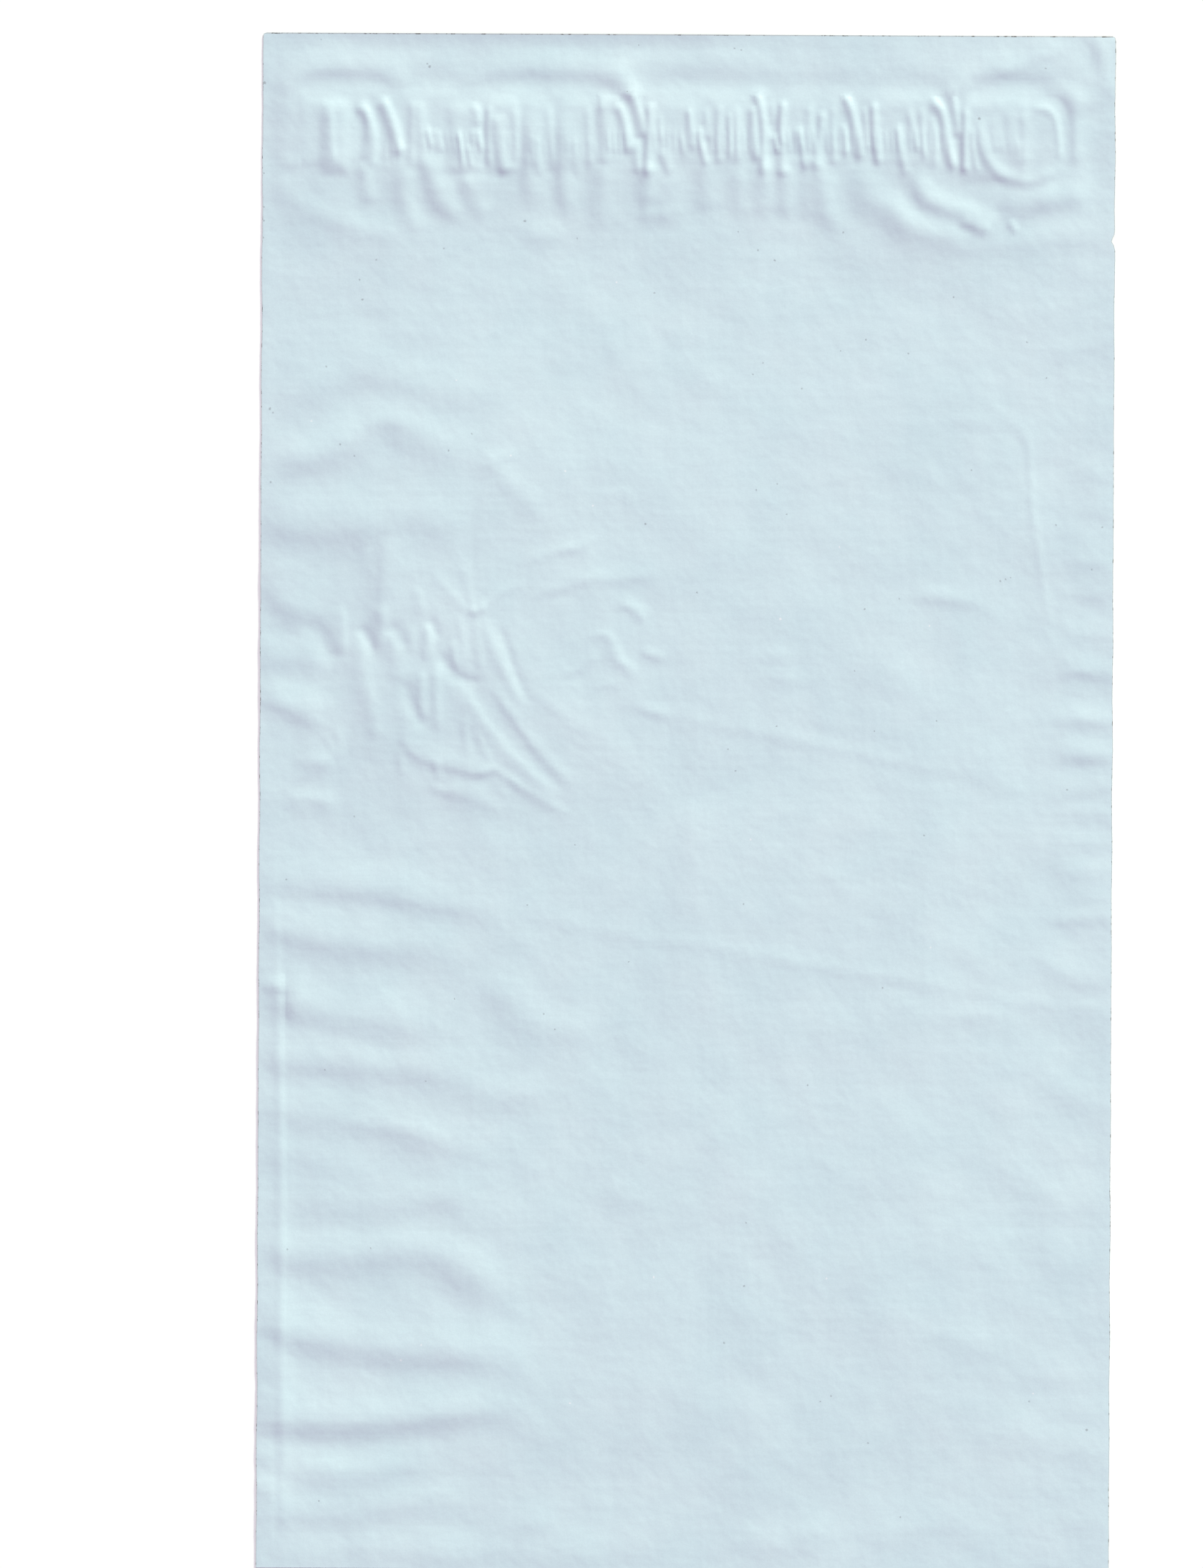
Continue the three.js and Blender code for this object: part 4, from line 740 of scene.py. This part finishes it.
# Welds: their cut edges outside, and the ends of the pocket inside
for end in (0, -1):
    upper = [fold_nose[end]] + [row[end] for row in back_outer[:mouth_row + 1]] + [mouth_back[end]]
    lower = [fold_nose[end]] + [row[end] for row in front_outer]
    pocket_back = [row[end] for row in back_inner[:mouth_row]] + [mouth_back[pocket][end]]
    pocket_front = [row[end] for row in front_inner]
    flap_inner = [row[end] for row in back_inner[mouth_row:]]
    flap_outer = [row[end] for row in back_outer[mouth_row:]]
    if end == 0:
        stitch(upper, lower, CUT_AND_SHADE)
        stitch(pocket_front, pocket_back, INSIDE)
        stitch(flap_outer, flap_inner, CUT_AND_SHADE)
    else:
        stitch(lower, upper, CUT_AND_SHADE)
        stitch(pocket_back, pocket_front, INSIDE)
        stitch(flap_inner, flap_outer, CUT_AND_SHADE)
stitch(back_outer[-1], back_inner[-1], CUT_AND_SHADE)

smooth_angle = math.radians(50)


def stitched_piece(name):
    """The stitched chains as a piece of its own."""
    mesh = bpy.data.meshes.new(name)
    mesh.from_pydata([tuple(map(float, p)) for p in points], [], faces)
    mesh.update()
    mesh.polygons.foreach_set("material_index", face_materials)
    mesh.polygons.foreach_set("use_smooth", [True] * len(faces))
    piece = bpy.data.objects.new(name, mesh)
    bpy.context.collection.objects.link(piece)
    bpy.ops.object.select_all(action="DESELECT")
    piece.select_set(True)
    bpy.context.view_layer.objects.active = piece
    bpy.ops.object.shade_smooth_by_angle(angle=smooth_angle)
    return piece


film = stitched_piece("film")

# Dirt and pinholes in the film: where each lies and its radius, in millimetres
dark_specks = [
    (-75.2, 127, 0.24), (-75.2, 102.6, 0.16), (-75.3, 99.6, 0.14), (-75.2, 111, 0.12), (-75.2, 105, 0.12),
    (-46, 130, 0.22), (-46.4, 130.5, 0.14), (-9, 134, 0.12), (-65.2, 134.7, 0.12), (-29, 102.7, 0.22),
    (-43.3, 97.8, 0.14), (-55.3, 95.7, 0.12), (-58.2, 92.2, 0.14), (-57.7, 88.7, 0.17), (-6, 90.1, 0.14),
    (-19.7, 99.7, 0.12), (63.1, 130.2, 0.13), (8, 133.5, 0.14), (9.2, 133.2, 0.12), (8.8, 101, 0.12),
    (12.3, 97.8, 0.14), (15.3, 96, 0.16), (47, 89.6, 0.14), (27.4, 101, 0.14), (51.4, 121.2, 0.23),
    (-64, 76.8, 0.14), (-61.5, 63, 0.14), (-59, 61, 0.12), (-42.3, 62, 0.14), (-38.2, 65, 0.12),
    (-74, 69.3, 0.22), (-73.4, 68.6, 0.13), (-73.8, 56.3, 0.14), (-7.4, 49.2, 0.17), (11.5, 75.8, 0.12),
    (13.3, 77.8, 0.12), (20.2, 73.3, 0.14), (27, 80, 0.12), (39, 79.6, 0.14), (31.5, 82, 0.14),
    (60, 81.7, 0.14), (63.5, 75.4, 0.12), (12.2, 55.3, 0.14), (15.9, 56.4, 0.12), (50.3, 59, 0.14),
    (17.6, 51, 0.12), (65.3, 49.4, 0.14), (73.5, 49, 0.14), (71.7, 41.5, 0.14), (1.8, 37.1, 0.14),
    (31.5, 34.3, 0.14), (29.8, 23.4, 0.12), (37.6, 36.2, 0.12), (55.5, 39.4, 0.14), (56.4, 39.7, 0.12),
    (57.3, 40, 0.12), (16, 13.5, 0.14), (33.3, 12.7, 0.14), (44.3, 14.6, 0.14), (7.4, 9.4, 0.12),
    (8.8, 5.6, 0.14), (67.5, 2.5, 0.14), (-58.7, -2.8, 0.12), (-70.7, -14, 0.14), (-19.6, -7.7, 0.14),
    (-28, -18.3, 0.12), (-10, -28.3, 0.14), (-23, -40.3, 0.12), (-25, -37.6, 0.14), (-40.8, -35, 0.14),
    (-63.7, -47.7, 0.14), (-45.8, -49.6, 0.12), (10.3, -18, 0.14), (42.2, -5.7, 0.14), (35, -32.7, 0.14),
    (21.8, -50, 0.14), (-70.2, -79.5, 0.14), (-55.4, -79.2, 0.12), (-64.4, -124, 0.14), (10.7, -85.6, 0.17),
    (7.2, -95.7, 0.16), (11, -74.4, 0.12), (61.3, -105.8, 0.14), (32.8, -113.3, 0.14), (24.3, -106, 0.14),
    (26.2, -105, 0.12), (71.5, -110.8, 0.19), (38.6, -126.4, 0.14),
]
white_specks = [
    (-12.7, 92, 0.17), (-41, 74.5, 0.14), (-66.6, 67.2, 0.14), (-31.3, 61.2, 0.14), (-16.7, 52.4, 0.14),
    (-21.6, 58.5, 0.14), (16.6, 32.5, 0.17), (43, 31.4, 0.14), (27, 45.3, 0.14), (11.5, -6.6, 0.14),
    (43.5, -25.5, 0.14), (-46.4, -96.3, 0.14), (-50, -99, 0.14), (-5.3, -84.1, 0.17), (-20, -106.5, 0.14),
    (62, -104.4, 0.14), (25.3, -84.2, 0.14),
]
speck_softness = 0.09 * mm
ragged = 0.15 * mm
ragged_noise = (3000, 1)
dark_speck, dark_cover = (0.16, 0.17, 0.18), 0.48
white_speck, white_cover = (0.9, 0.93, 0.95), 0.8

# Look of the film: its two close tones, and the sheen in its folds. Each pattern of noise has the number of
# its marks to a metre and its detail. For streaks that number is given across and up the bag, by stretching.
film_tones = (0.619, 0.786, 0.833), (0.657, 0.813, 0.855)
film_roughness = (0.36, 0.43)
sheen_tint, sheen_strength = (1, 0.48, 0.78, 1), 1
film_patches, film_grain = (55, 4), (2600, 2)
web_streaks, cross_streaks = (10, 900), (700, 14)
streak_noise = (1, 3)
noise_roughness = 0.6
grain_strength, web_strength, cross_strength = 0.028, 0.012, 0.007

# The part of a noise's range that is spread over the whole of a look
noise_middle, noise_most = (0.3, 0.7), (0.2, 0.8)

# Dents too fine for the mesh: how close together, how varied and how deep
film_dents = [
    (32, 2, 0.85 * mm),
    (95, 3, 0.26 * mm),
    (360, 3, 0.035 * mm),
    (2600, 2, 0.005 * mm),
]


def new_material(name):
    material = bpy.data.materials.new(name)
    material.use_nodes = True
    return material, material.node_tree.nodes, material.node_tree.links


def noise(nodes, links, vector, scale, detail):
    texture = nodes.new("ShaderNodeTexNoise")
    texture.inputs["Scale"].default_value = scale
    texture.inputs["Detail"].default_value = detail
    texture.inputs["Roughness"].default_value = noise_roughness
    links.new(vector, texture.inputs["Vector"])
    return texture


def stretched(nodes, links, vector, along_x, along_y):
    mapping = nodes.new("ShaderNodeMapping")
    mapping.inputs["Scale"].default_value = (along_x, along_y, 1)
    links.new(vector, mapping.inputs["Vector"])
    return mapping.outputs[0]


def arithmetic(nodes, links, operation, first, second):
    node = nodes.new("ShaderNodeMath")
    node.operation = operation
    for value, socket in ((first, node.inputs[0]), (second, node.inputs[1])):
        if isinstance(value, bpy.types.NodeSocket):
            links.new(value, socket)
        else:
            socket.default_value = value
    return node.outputs[0]


def mapped(nodes, links, value, from_low, from_high, to_low, to_high):
    node = nodes.new("ShaderNodeMapRange")
    ends = {"From Min": from_low, "From Max": from_high, "To Min": to_low, "To Max": to_high}
    for name, number in ends.items():
        node.inputs[name].default_value = number
    links.new(value, node.inputs["Value"])
    return node.outputs[0]


def tinted(nodes, links, factor, first, second):
    """A mix of two colours, each a plain colour or a socket."""
    node = nodes.new("ShaderNodeMix")
    node.data_type = "RGBA"
    links.new(factor, node.inputs["Factor"])
    for value, socket in ((first, node.inputs[6]), (second, node.inputs[7])):
        if isinstance(value, bpy.types.NodeSocket):
            links.new(value, socket)
        else:
            socket.default_value = (*value, 1)
    return node.outputs[2]


def nearest_speck(nodes, links, place, specks):
    """How far each place lies outside the nearest speck's edge."""
    nearest = None
    for x, y, radius in specks:
        apart = nodes.new("ShaderNodeVectorMath")
        apart.operation = "DISTANCE"
        apart.inputs[1].default_value = (x * mm, y * mm, 0)
        links.new(place, apart.inputs[0])
        outside = arithmetic(nodes, links, "SUBTRACT", apart.outputs["Value"], radius * mm)
        nearest = outside if nearest is None else arithmetic(nodes, links, "MINIMUM", nearest, outside)
    return nearest


def outside_film(name, specked):
    material, nodes, links = new_material(name)
    shader = nodes["Principled BSDF"]
    where = nodes.new("ShaderNodeTexCoord").outputs["Object"]
    patches = noise(nodes, links, where, *film_patches)
    grain = noise(nodes, links, where, *film_grain)
    web_lines = noise(nodes, links, stretched(nodes, links, where, *web_streaks), *streak_noise)
    cross_lines = noise(nodes, links, stretched(nodes, links, where, *cross_streaks), *streak_noise)
    patched = tinted(nodes, links, mapped(nodes, links, patches.outputs[0], *noise_middle, 0, 1), *film_tones)
    grained = mapped(nodes, links, grain.outputs[0], *noise_most, 1 - grain_strength, 1 + grain_strength)
    webbed = mapped(nodes, links, web_lines.outputs[0], *noise_middle, -web_strength, web_strength)
    crossed = mapped(nodes, links, cross_lines.outputs[0], *noise_middle, -cross_strength, cross_strength)
    streaks = arithmetic(nodes, links, "ADD", webbed, crossed)
    value = nodes.new("ShaderNodeHueSaturation")
    links.new(patched, value.inputs["Color"])
    links.new(arithmetic(nodes, links, "ADD", grained, streaks), value.inputs["Value"])
    coloured = value.outputs[0]
    if specked:
        jitter = noise(nodes, links, where, *ragged_noise)
        shaken = nodes.new("ShaderNodeVectorMath")
        shaken.operation = "MULTIPLY_ADD"
        shaken.inputs[1].default_value = (2 * ragged, 2 * ragged, 0)
        links.new(jitter.outputs["Color"], shaken.inputs[0])
        links.new(where, shaken.inputs[2])
        flat = nodes.new("ShaderNodeVectorMath")
        flat.operation = "MULTIPLY"
        flat.inputs[1].default_value = (1, 1, 0)
        links.new(shaken.outputs[0], flat.inputs[0])
        centred = nodes.new("ShaderNodeVectorMath")
        centred.operation = "SUBTRACT"
        centred.inputs[1].default_value = (ragged, ragged, 0)
        links.new(flat.outputs[0], centred.inputs[0])
        dirt = (dark_specks, dark_speck, dark_cover), (white_specks, white_speck, white_cover)
        for specks, colour, most in dirt:
            outside = nearest_speck(nodes, links, centred.outputs[0], specks)
            cover = mapped(nodes, links, outside, -speck_softness, speck_softness, most, 0)
            coloured = tinted(nodes, links, cover, coloured, colour)
    links.new(coloured, shader.inputs["Base Color"])
    dulled = mapped(nodes, links, patches.outputs[0], *noise_middle, *film_roughness)
    links.new(dulled, shader.inputs["Roughness"])
    shader.inputs["Specular IOR Level"].default_value = sheen_strength
    shader.inputs["Specular Tint"].default_value = sheen_tint
    above = None
    for scale, detail, depth in film_dents:
        dents = noise(nodes, links, where, scale, detail)
        bump = nodes.new("ShaderNodeBump")
        bump.inputs["Distance"].default_value = depth
        links.new(dents.outputs[0], bump.inputs["Height"])
        if above is not None:
            links.new(above, bump.inputs["Normal"])
        above = bump.outputs[0]
    links.new(above, shader.inputs["Normal"])
    return material


outside_skin = outside_film("film_outside", False)
specked_skin = outside_film("film_outside_specked", True)

inside_skin, nodes, links = new_material("film_inside")
shader = nodes["Principled BSDF"]
where = nodes.new("ShaderNodeTexCoord").outputs["Object"]
inside_tones = (0.34, 0.36, 0.38), (0.44, 0.46, 0.48)
inside_roughness = (0.3, 0.42)
inside_patches = (70, 4)
patches = noise(nodes, links, where, *inside_patches)
links.new(tinted(nodes, links, patches.outputs[0], *inside_tones), shader.inputs["Base Color"])
dulled = mapped(nodes, links, patches.outputs[0], *noise_middle, *inside_roughness)
links.new(dulled, shader.inputs["Roughness"])

# The cut edge's colour: mottled melted film, darkened further with painted shade, because it also covers the
# thin bands along the cut edges on the film's top, where the edge's shadow falls
cut_edge_and_shade_skin, nodes, links = new_material("film_cut_edge_and_painted_shade")
shader = nodes["Principled BSDF"]
where = nodes.new("ShaderNodeTexCoord").outputs["Object"]
melt_and_shade_range = (0.32, 0.46)
melt_and_shade_tones = (0.14, 0.13, 0.12), (0.54, 0.60, 0.62)
melt_and_shade_noise = (1100, 2)
cut_roughness = 0.35
melt_and_shade_pattern = noise(nodes, links, where, *melt_and_shade_noise)
melt_and_shade_share = mapped(nodes, links, melt_and_shade_pattern.outputs[0], *melt_and_shade_range, 0, 1)
links.new(tinted(nodes, links, melt_and_shade_share, *melt_and_shade_tones), shader.inputs["Base Color"])
shader.inputs["Roughness"].default_value = cut_roughness

for material in (outside_skin, inside_skin, cut_edge_and_shade_skin, specked_skin):
    film.data.materials.append(material)
speck_reach = 2 * mm
speck_places = [(x * mm, y * mm) for x, y, radius in dark_specks + white_specks]
for polygon in film.data.polygons:
    x, y, z = polygon.center
    if polygon.material_index == OUTSIDE and z > film_thickness:
        if any(abs(x - sx) < speck_reach and abs(y - sy) < speck_reach for sx, sy in speck_places):
            polygon.material_index = SPECKED
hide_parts("mailer_film")
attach(film, "root")

# Adhesive
# A band of clear hot-melt pressure-sensitive adhesive, laid hot across the inside of the flap by a slot die.
# It follows the gathered film above it, and its long edges wander a little.
adhesive_thickness = 0.08 * mm
adhesive_pitch_x, adhesive_pitch_y = 0.33 * mm, 0.55 * mm
adhesive_wander, wander_lengths = 0.06 * mm, (3.1 * mm, 7.7 * mm)
glue_tones = (0.72, 0.66, 0.44), (0.86, 0.83, 0.66)
glue_roughness, glue_coat = 0.18, 0.4
flow_streaks = (60, 600)
tack_depth = 0.02 * mm
band_x = np.array(evenly(adhesive_low.x, adhesive_high.x, adhesive_pitch_x) + [adhesive_high.x])
band_y = np.array(evenly(adhesive_low.y, adhesive_high.y, adhesive_pitch_y) + [adhesive_high.y])
grid_x, grid_y = np.meshgrid(band_x, band_y)
ragged_edge = adhesive_wander * (1 + np.sin(grid_x / wander_lengths[0]) * np.sin(grid_x / wander_lengths[1]))
share_up = (grid_y - adhesive_low.y) / (adhesive_high.y - adhesive_low.y)
grid_y = grid_y + ragged_edge * (1 - 2 * share_up)
band_top = film_top(grid_x, grid_y) - film_thickness - lying_clearance
points, faces, face_materials = [], [], []
top_rows = [chain(xs, ys, tops) for xs, ys, tops in zip(grid_x, grid_y, band_top)]
bottom_rows = [chain(xs, ys, tops - adhesive_thickness) for xs, ys, tops in zip(grid_x, grid_y, band_top)]
for j in range(len(top_rows) - 1):
    stitch(top_rows[j], top_rows[j + 1])
    stitch(bottom_rows[j], bottom_rows[j + 1], facing_down=True)
stitch(bottom_rows[0], top_rows[0])
stitch(top_rows[-1], bottom_rows[-1])
stitch([row[0] for row in top_rows], [row[0] for row in bottom_rows])
stitch([row[-1] for row in bottom_rows], [row[-1] for row in top_rows])
adhesive = stitched_piece("adhesive")

glue, nodes, links = new_material("adhesive")
shader = nodes["Principled BSDF"]
where = nodes.new("ShaderNodeTexCoord").outputs["Object"]
flow = noise(nodes, links, stretched(nodes, links, where, *flow_streaks), *streak_noise)
links.new(tinted(nodes, links, flow.outputs[0], *glue_tones), shader.inputs["Base Color"])
shader.inputs["Roughness"].default_value = glue_roughness
shader.inputs["Coat Weight"].default_value = glue_coat
tack = nodes.new("ShaderNodeBump")
tack.inputs["Distance"].default_value = tack_depth
links.new(flow.outputs[0], tack.inputs["Height"])
links.new(tack.outputs[0], shader.inputs["Normal"])
adhesive.data.materials.append(glue)
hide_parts("adhesive_strip")
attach(adhesive, "root")

# Release strip
# A die-cut strip of siliconed paper, wider and longer than the adhesive that it covers, with its corners
# rounded. It lies flat on the table under the flap.
corner_radius, corner_segments = 0.6 * mm, 6
cut_softness, cut_segments, cut_angle = 0.012 * mm, 2, math.radians(60)
paper_smooth_angle = math.radians(40)
fibre_streaks, fibre_noise, cloud_noise = (900, 2600), (1, 4), (240, 4)
pulp_range = (0.12, 0.4)
paper_roughness = 0.45
silicone_coat, silicone_roughness = 0.25, 0.2
paper_tones = (0.80, 0.785, 0.735), (0.88, 0.87, 0.83)
liner_size = liner_high - liner_low
bpy.ops.mesh.primitive_cube_add(size=1, location=(liner_low + liner_high) / 2)
liner = bpy.context.object
liner.name = "release_strip"
liner.scale = liner_size
bpy.ops.object.transform_apply(location=True, rotation=False, scale=True)
bpy.ops.object.mode_set(mode="EDIT")
bpy.ops.mesh.select_all(action="DESELECT")
bpy.ops.mesh.select_mode(type="EDGE")
bpy.ops.object.mode_set(mode="OBJECT")
for edge in liner.data.edges:
    ends = [liner.data.vertices[i].co for i in edge.vertices]
    edge.select = abs(ends[0].z - ends[1].z) > liner_size.z / 2
bpy.ops.object.mode_set(mode="EDIT")
bpy.ops.mesh.bevel(offset=corner_radius, offset_type="OFFSET", segments=corner_segments, affect="EDGES")
bpy.ops.object.mode_set(mode="OBJECT")
rounding = liner.modifiers.new("soft cut", "BEVEL")
rounding.width = cut_softness
rounding.segments = cut_segments
rounding.limit_method = "ANGLE"
rounding.angle_limit = cut_angle
bpy.ops.object.modifier_apply(modifier=rounding.name)
bpy.ops.object.shade_smooth_by_angle(angle=paper_smooth_angle)

paper, nodes, links = new_material("release_paper")
shader = nodes["Principled BSDF"]
where = nodes.new("ShaderNodeTexCoord").outputs["Object"]
fibre = noise(nodes, links, stretched(nodes, links, where, *fibre_streaks), *fibre_noise)
cloud = noise(nodes, links, where, *cloud_noise)
pulp = arithmetic(nodes, links, "MULTIPLY", fibre.outputs[0], cloud.outputs[0])
pulp_share = mapped(nodes, links, pulp, *pulp_range, 0, 1)
links.new(tinted(nodes, links, pulp_share, *paper_tones), shader.inputs["Base Color"])
shader.inputs["Roughness"].default_value = paper_roughness
shader.inputs["Coat Weight"].default_value = silicone_coat
shader.inputs["Coat Roughness"].default_value = silicone_roughness
liner.data.materials.append(paper)
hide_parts("release_liner")
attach(liner, "root")

# Camera
# Straight above, as in the flatbed scan: far off with a long lens, and turned a little as the bag was laid.
camera_height, camera_reach = 3.0, 10
frame_height = 277.6 * mm
frame_centre = (-14.95 * mm, 3.14 * mm)
frame_turn = math.radians(0.27)
bpy.ops.object.camera_add(location=(*frame_centre, camera_height), rotation=(0, 0, frame_turn))
camera = bpy.context.object
camera.data.sensor_fit = "VERTICAL"
camera.data.lens = camera.data.sensor_height * camera_height / frame_height
camera.data.clip_end = camera_reach
bpy.context.scene.camera = camera

# Floor
# The scanner's white lid. It is white to the camera and keeps the bag's faint shadow.
floor_size, floor_drop = 6, 0.02 * mm
floor_shade, floor_glow = 0.52, 0.5
bpy.ops.mesh.primitive_plane_add(size=floor_size, location=(0, 0, -floor_drop))
floor = bpy.context.object
floor.name = "floor"
white_floor, nodes, links = new_material("white_floor")
nodes.remove(nodes["Principled BSDF"])
diffuse = nodes.new("ShaderNodeBsdfDiffuse")
diffuse.inputs["Color"].default_value = (floor_shade, floor_shade, floor_shade, 1)
glow = nodes.new("ShaderNodeEmission")
glow.inputs["Color"].default_value = (1, 1, 1, 1)
paths = nodes.new("ShaderNodeLightPath")
seen = arithmetic(nodes, links, "MAXIMUM", paths.outputs["Is Camera Ray"], paths.outputs["Is Glossy Ray"])
links.new(arithmetic(nodes, links, "MULTIPLY", seen, floor_glow), glow.inputs["Strength"])
both = nodes.new("ShaderNodeAddShader")
links.new(diffuse.outputs[0], both.inputs[0])
links.new(glow.outputs[0], both.inputs[1])
links.new(both.outputs[0], nodes["Material Output"].inputs["Surface"])
floor.data.materials.append(white_floor)

# Light
# One lamp from the upper right and an even fill. Their tints add up to white, so only the folds are coloured.
light_from = (0.55, 0.80, 0.50)
key_share = 0.65
key_tint = (0.86, 1.035, 0.81)
key_spread = math.radians(14)
tilt = math.hypot(light_from[0], light_from[1])
bpy.ops.object.light_add(type="SUN", location=light_from)
key = bpy.context.object
key.data.energy = key_share * math.pi * math.hypot(tilt, light_from[2]) / light_from[2]
key.data.angle = key_spread
key.data.color = key_tint
key.rotation_euler = (0, math.atan2(tilt, light_from[2]), math.atan2(light_from[1], light_from[0]))
world = bpy.data.worlds.new("studio")
bpy.context.scene.world = world
world.use_nodes = True
background = world.node_tree.nodes["Background"]
fill_tint = [(1 - key_share * tint) / (1 - key_share) for tint in key_tint]
background.inputs["Color"].default_value = (*fill_tint, 1)
background.inputs["Strength"].default_value = 1 - key_share
bpy.context.scene.view_settings.view_transform = "Standard"
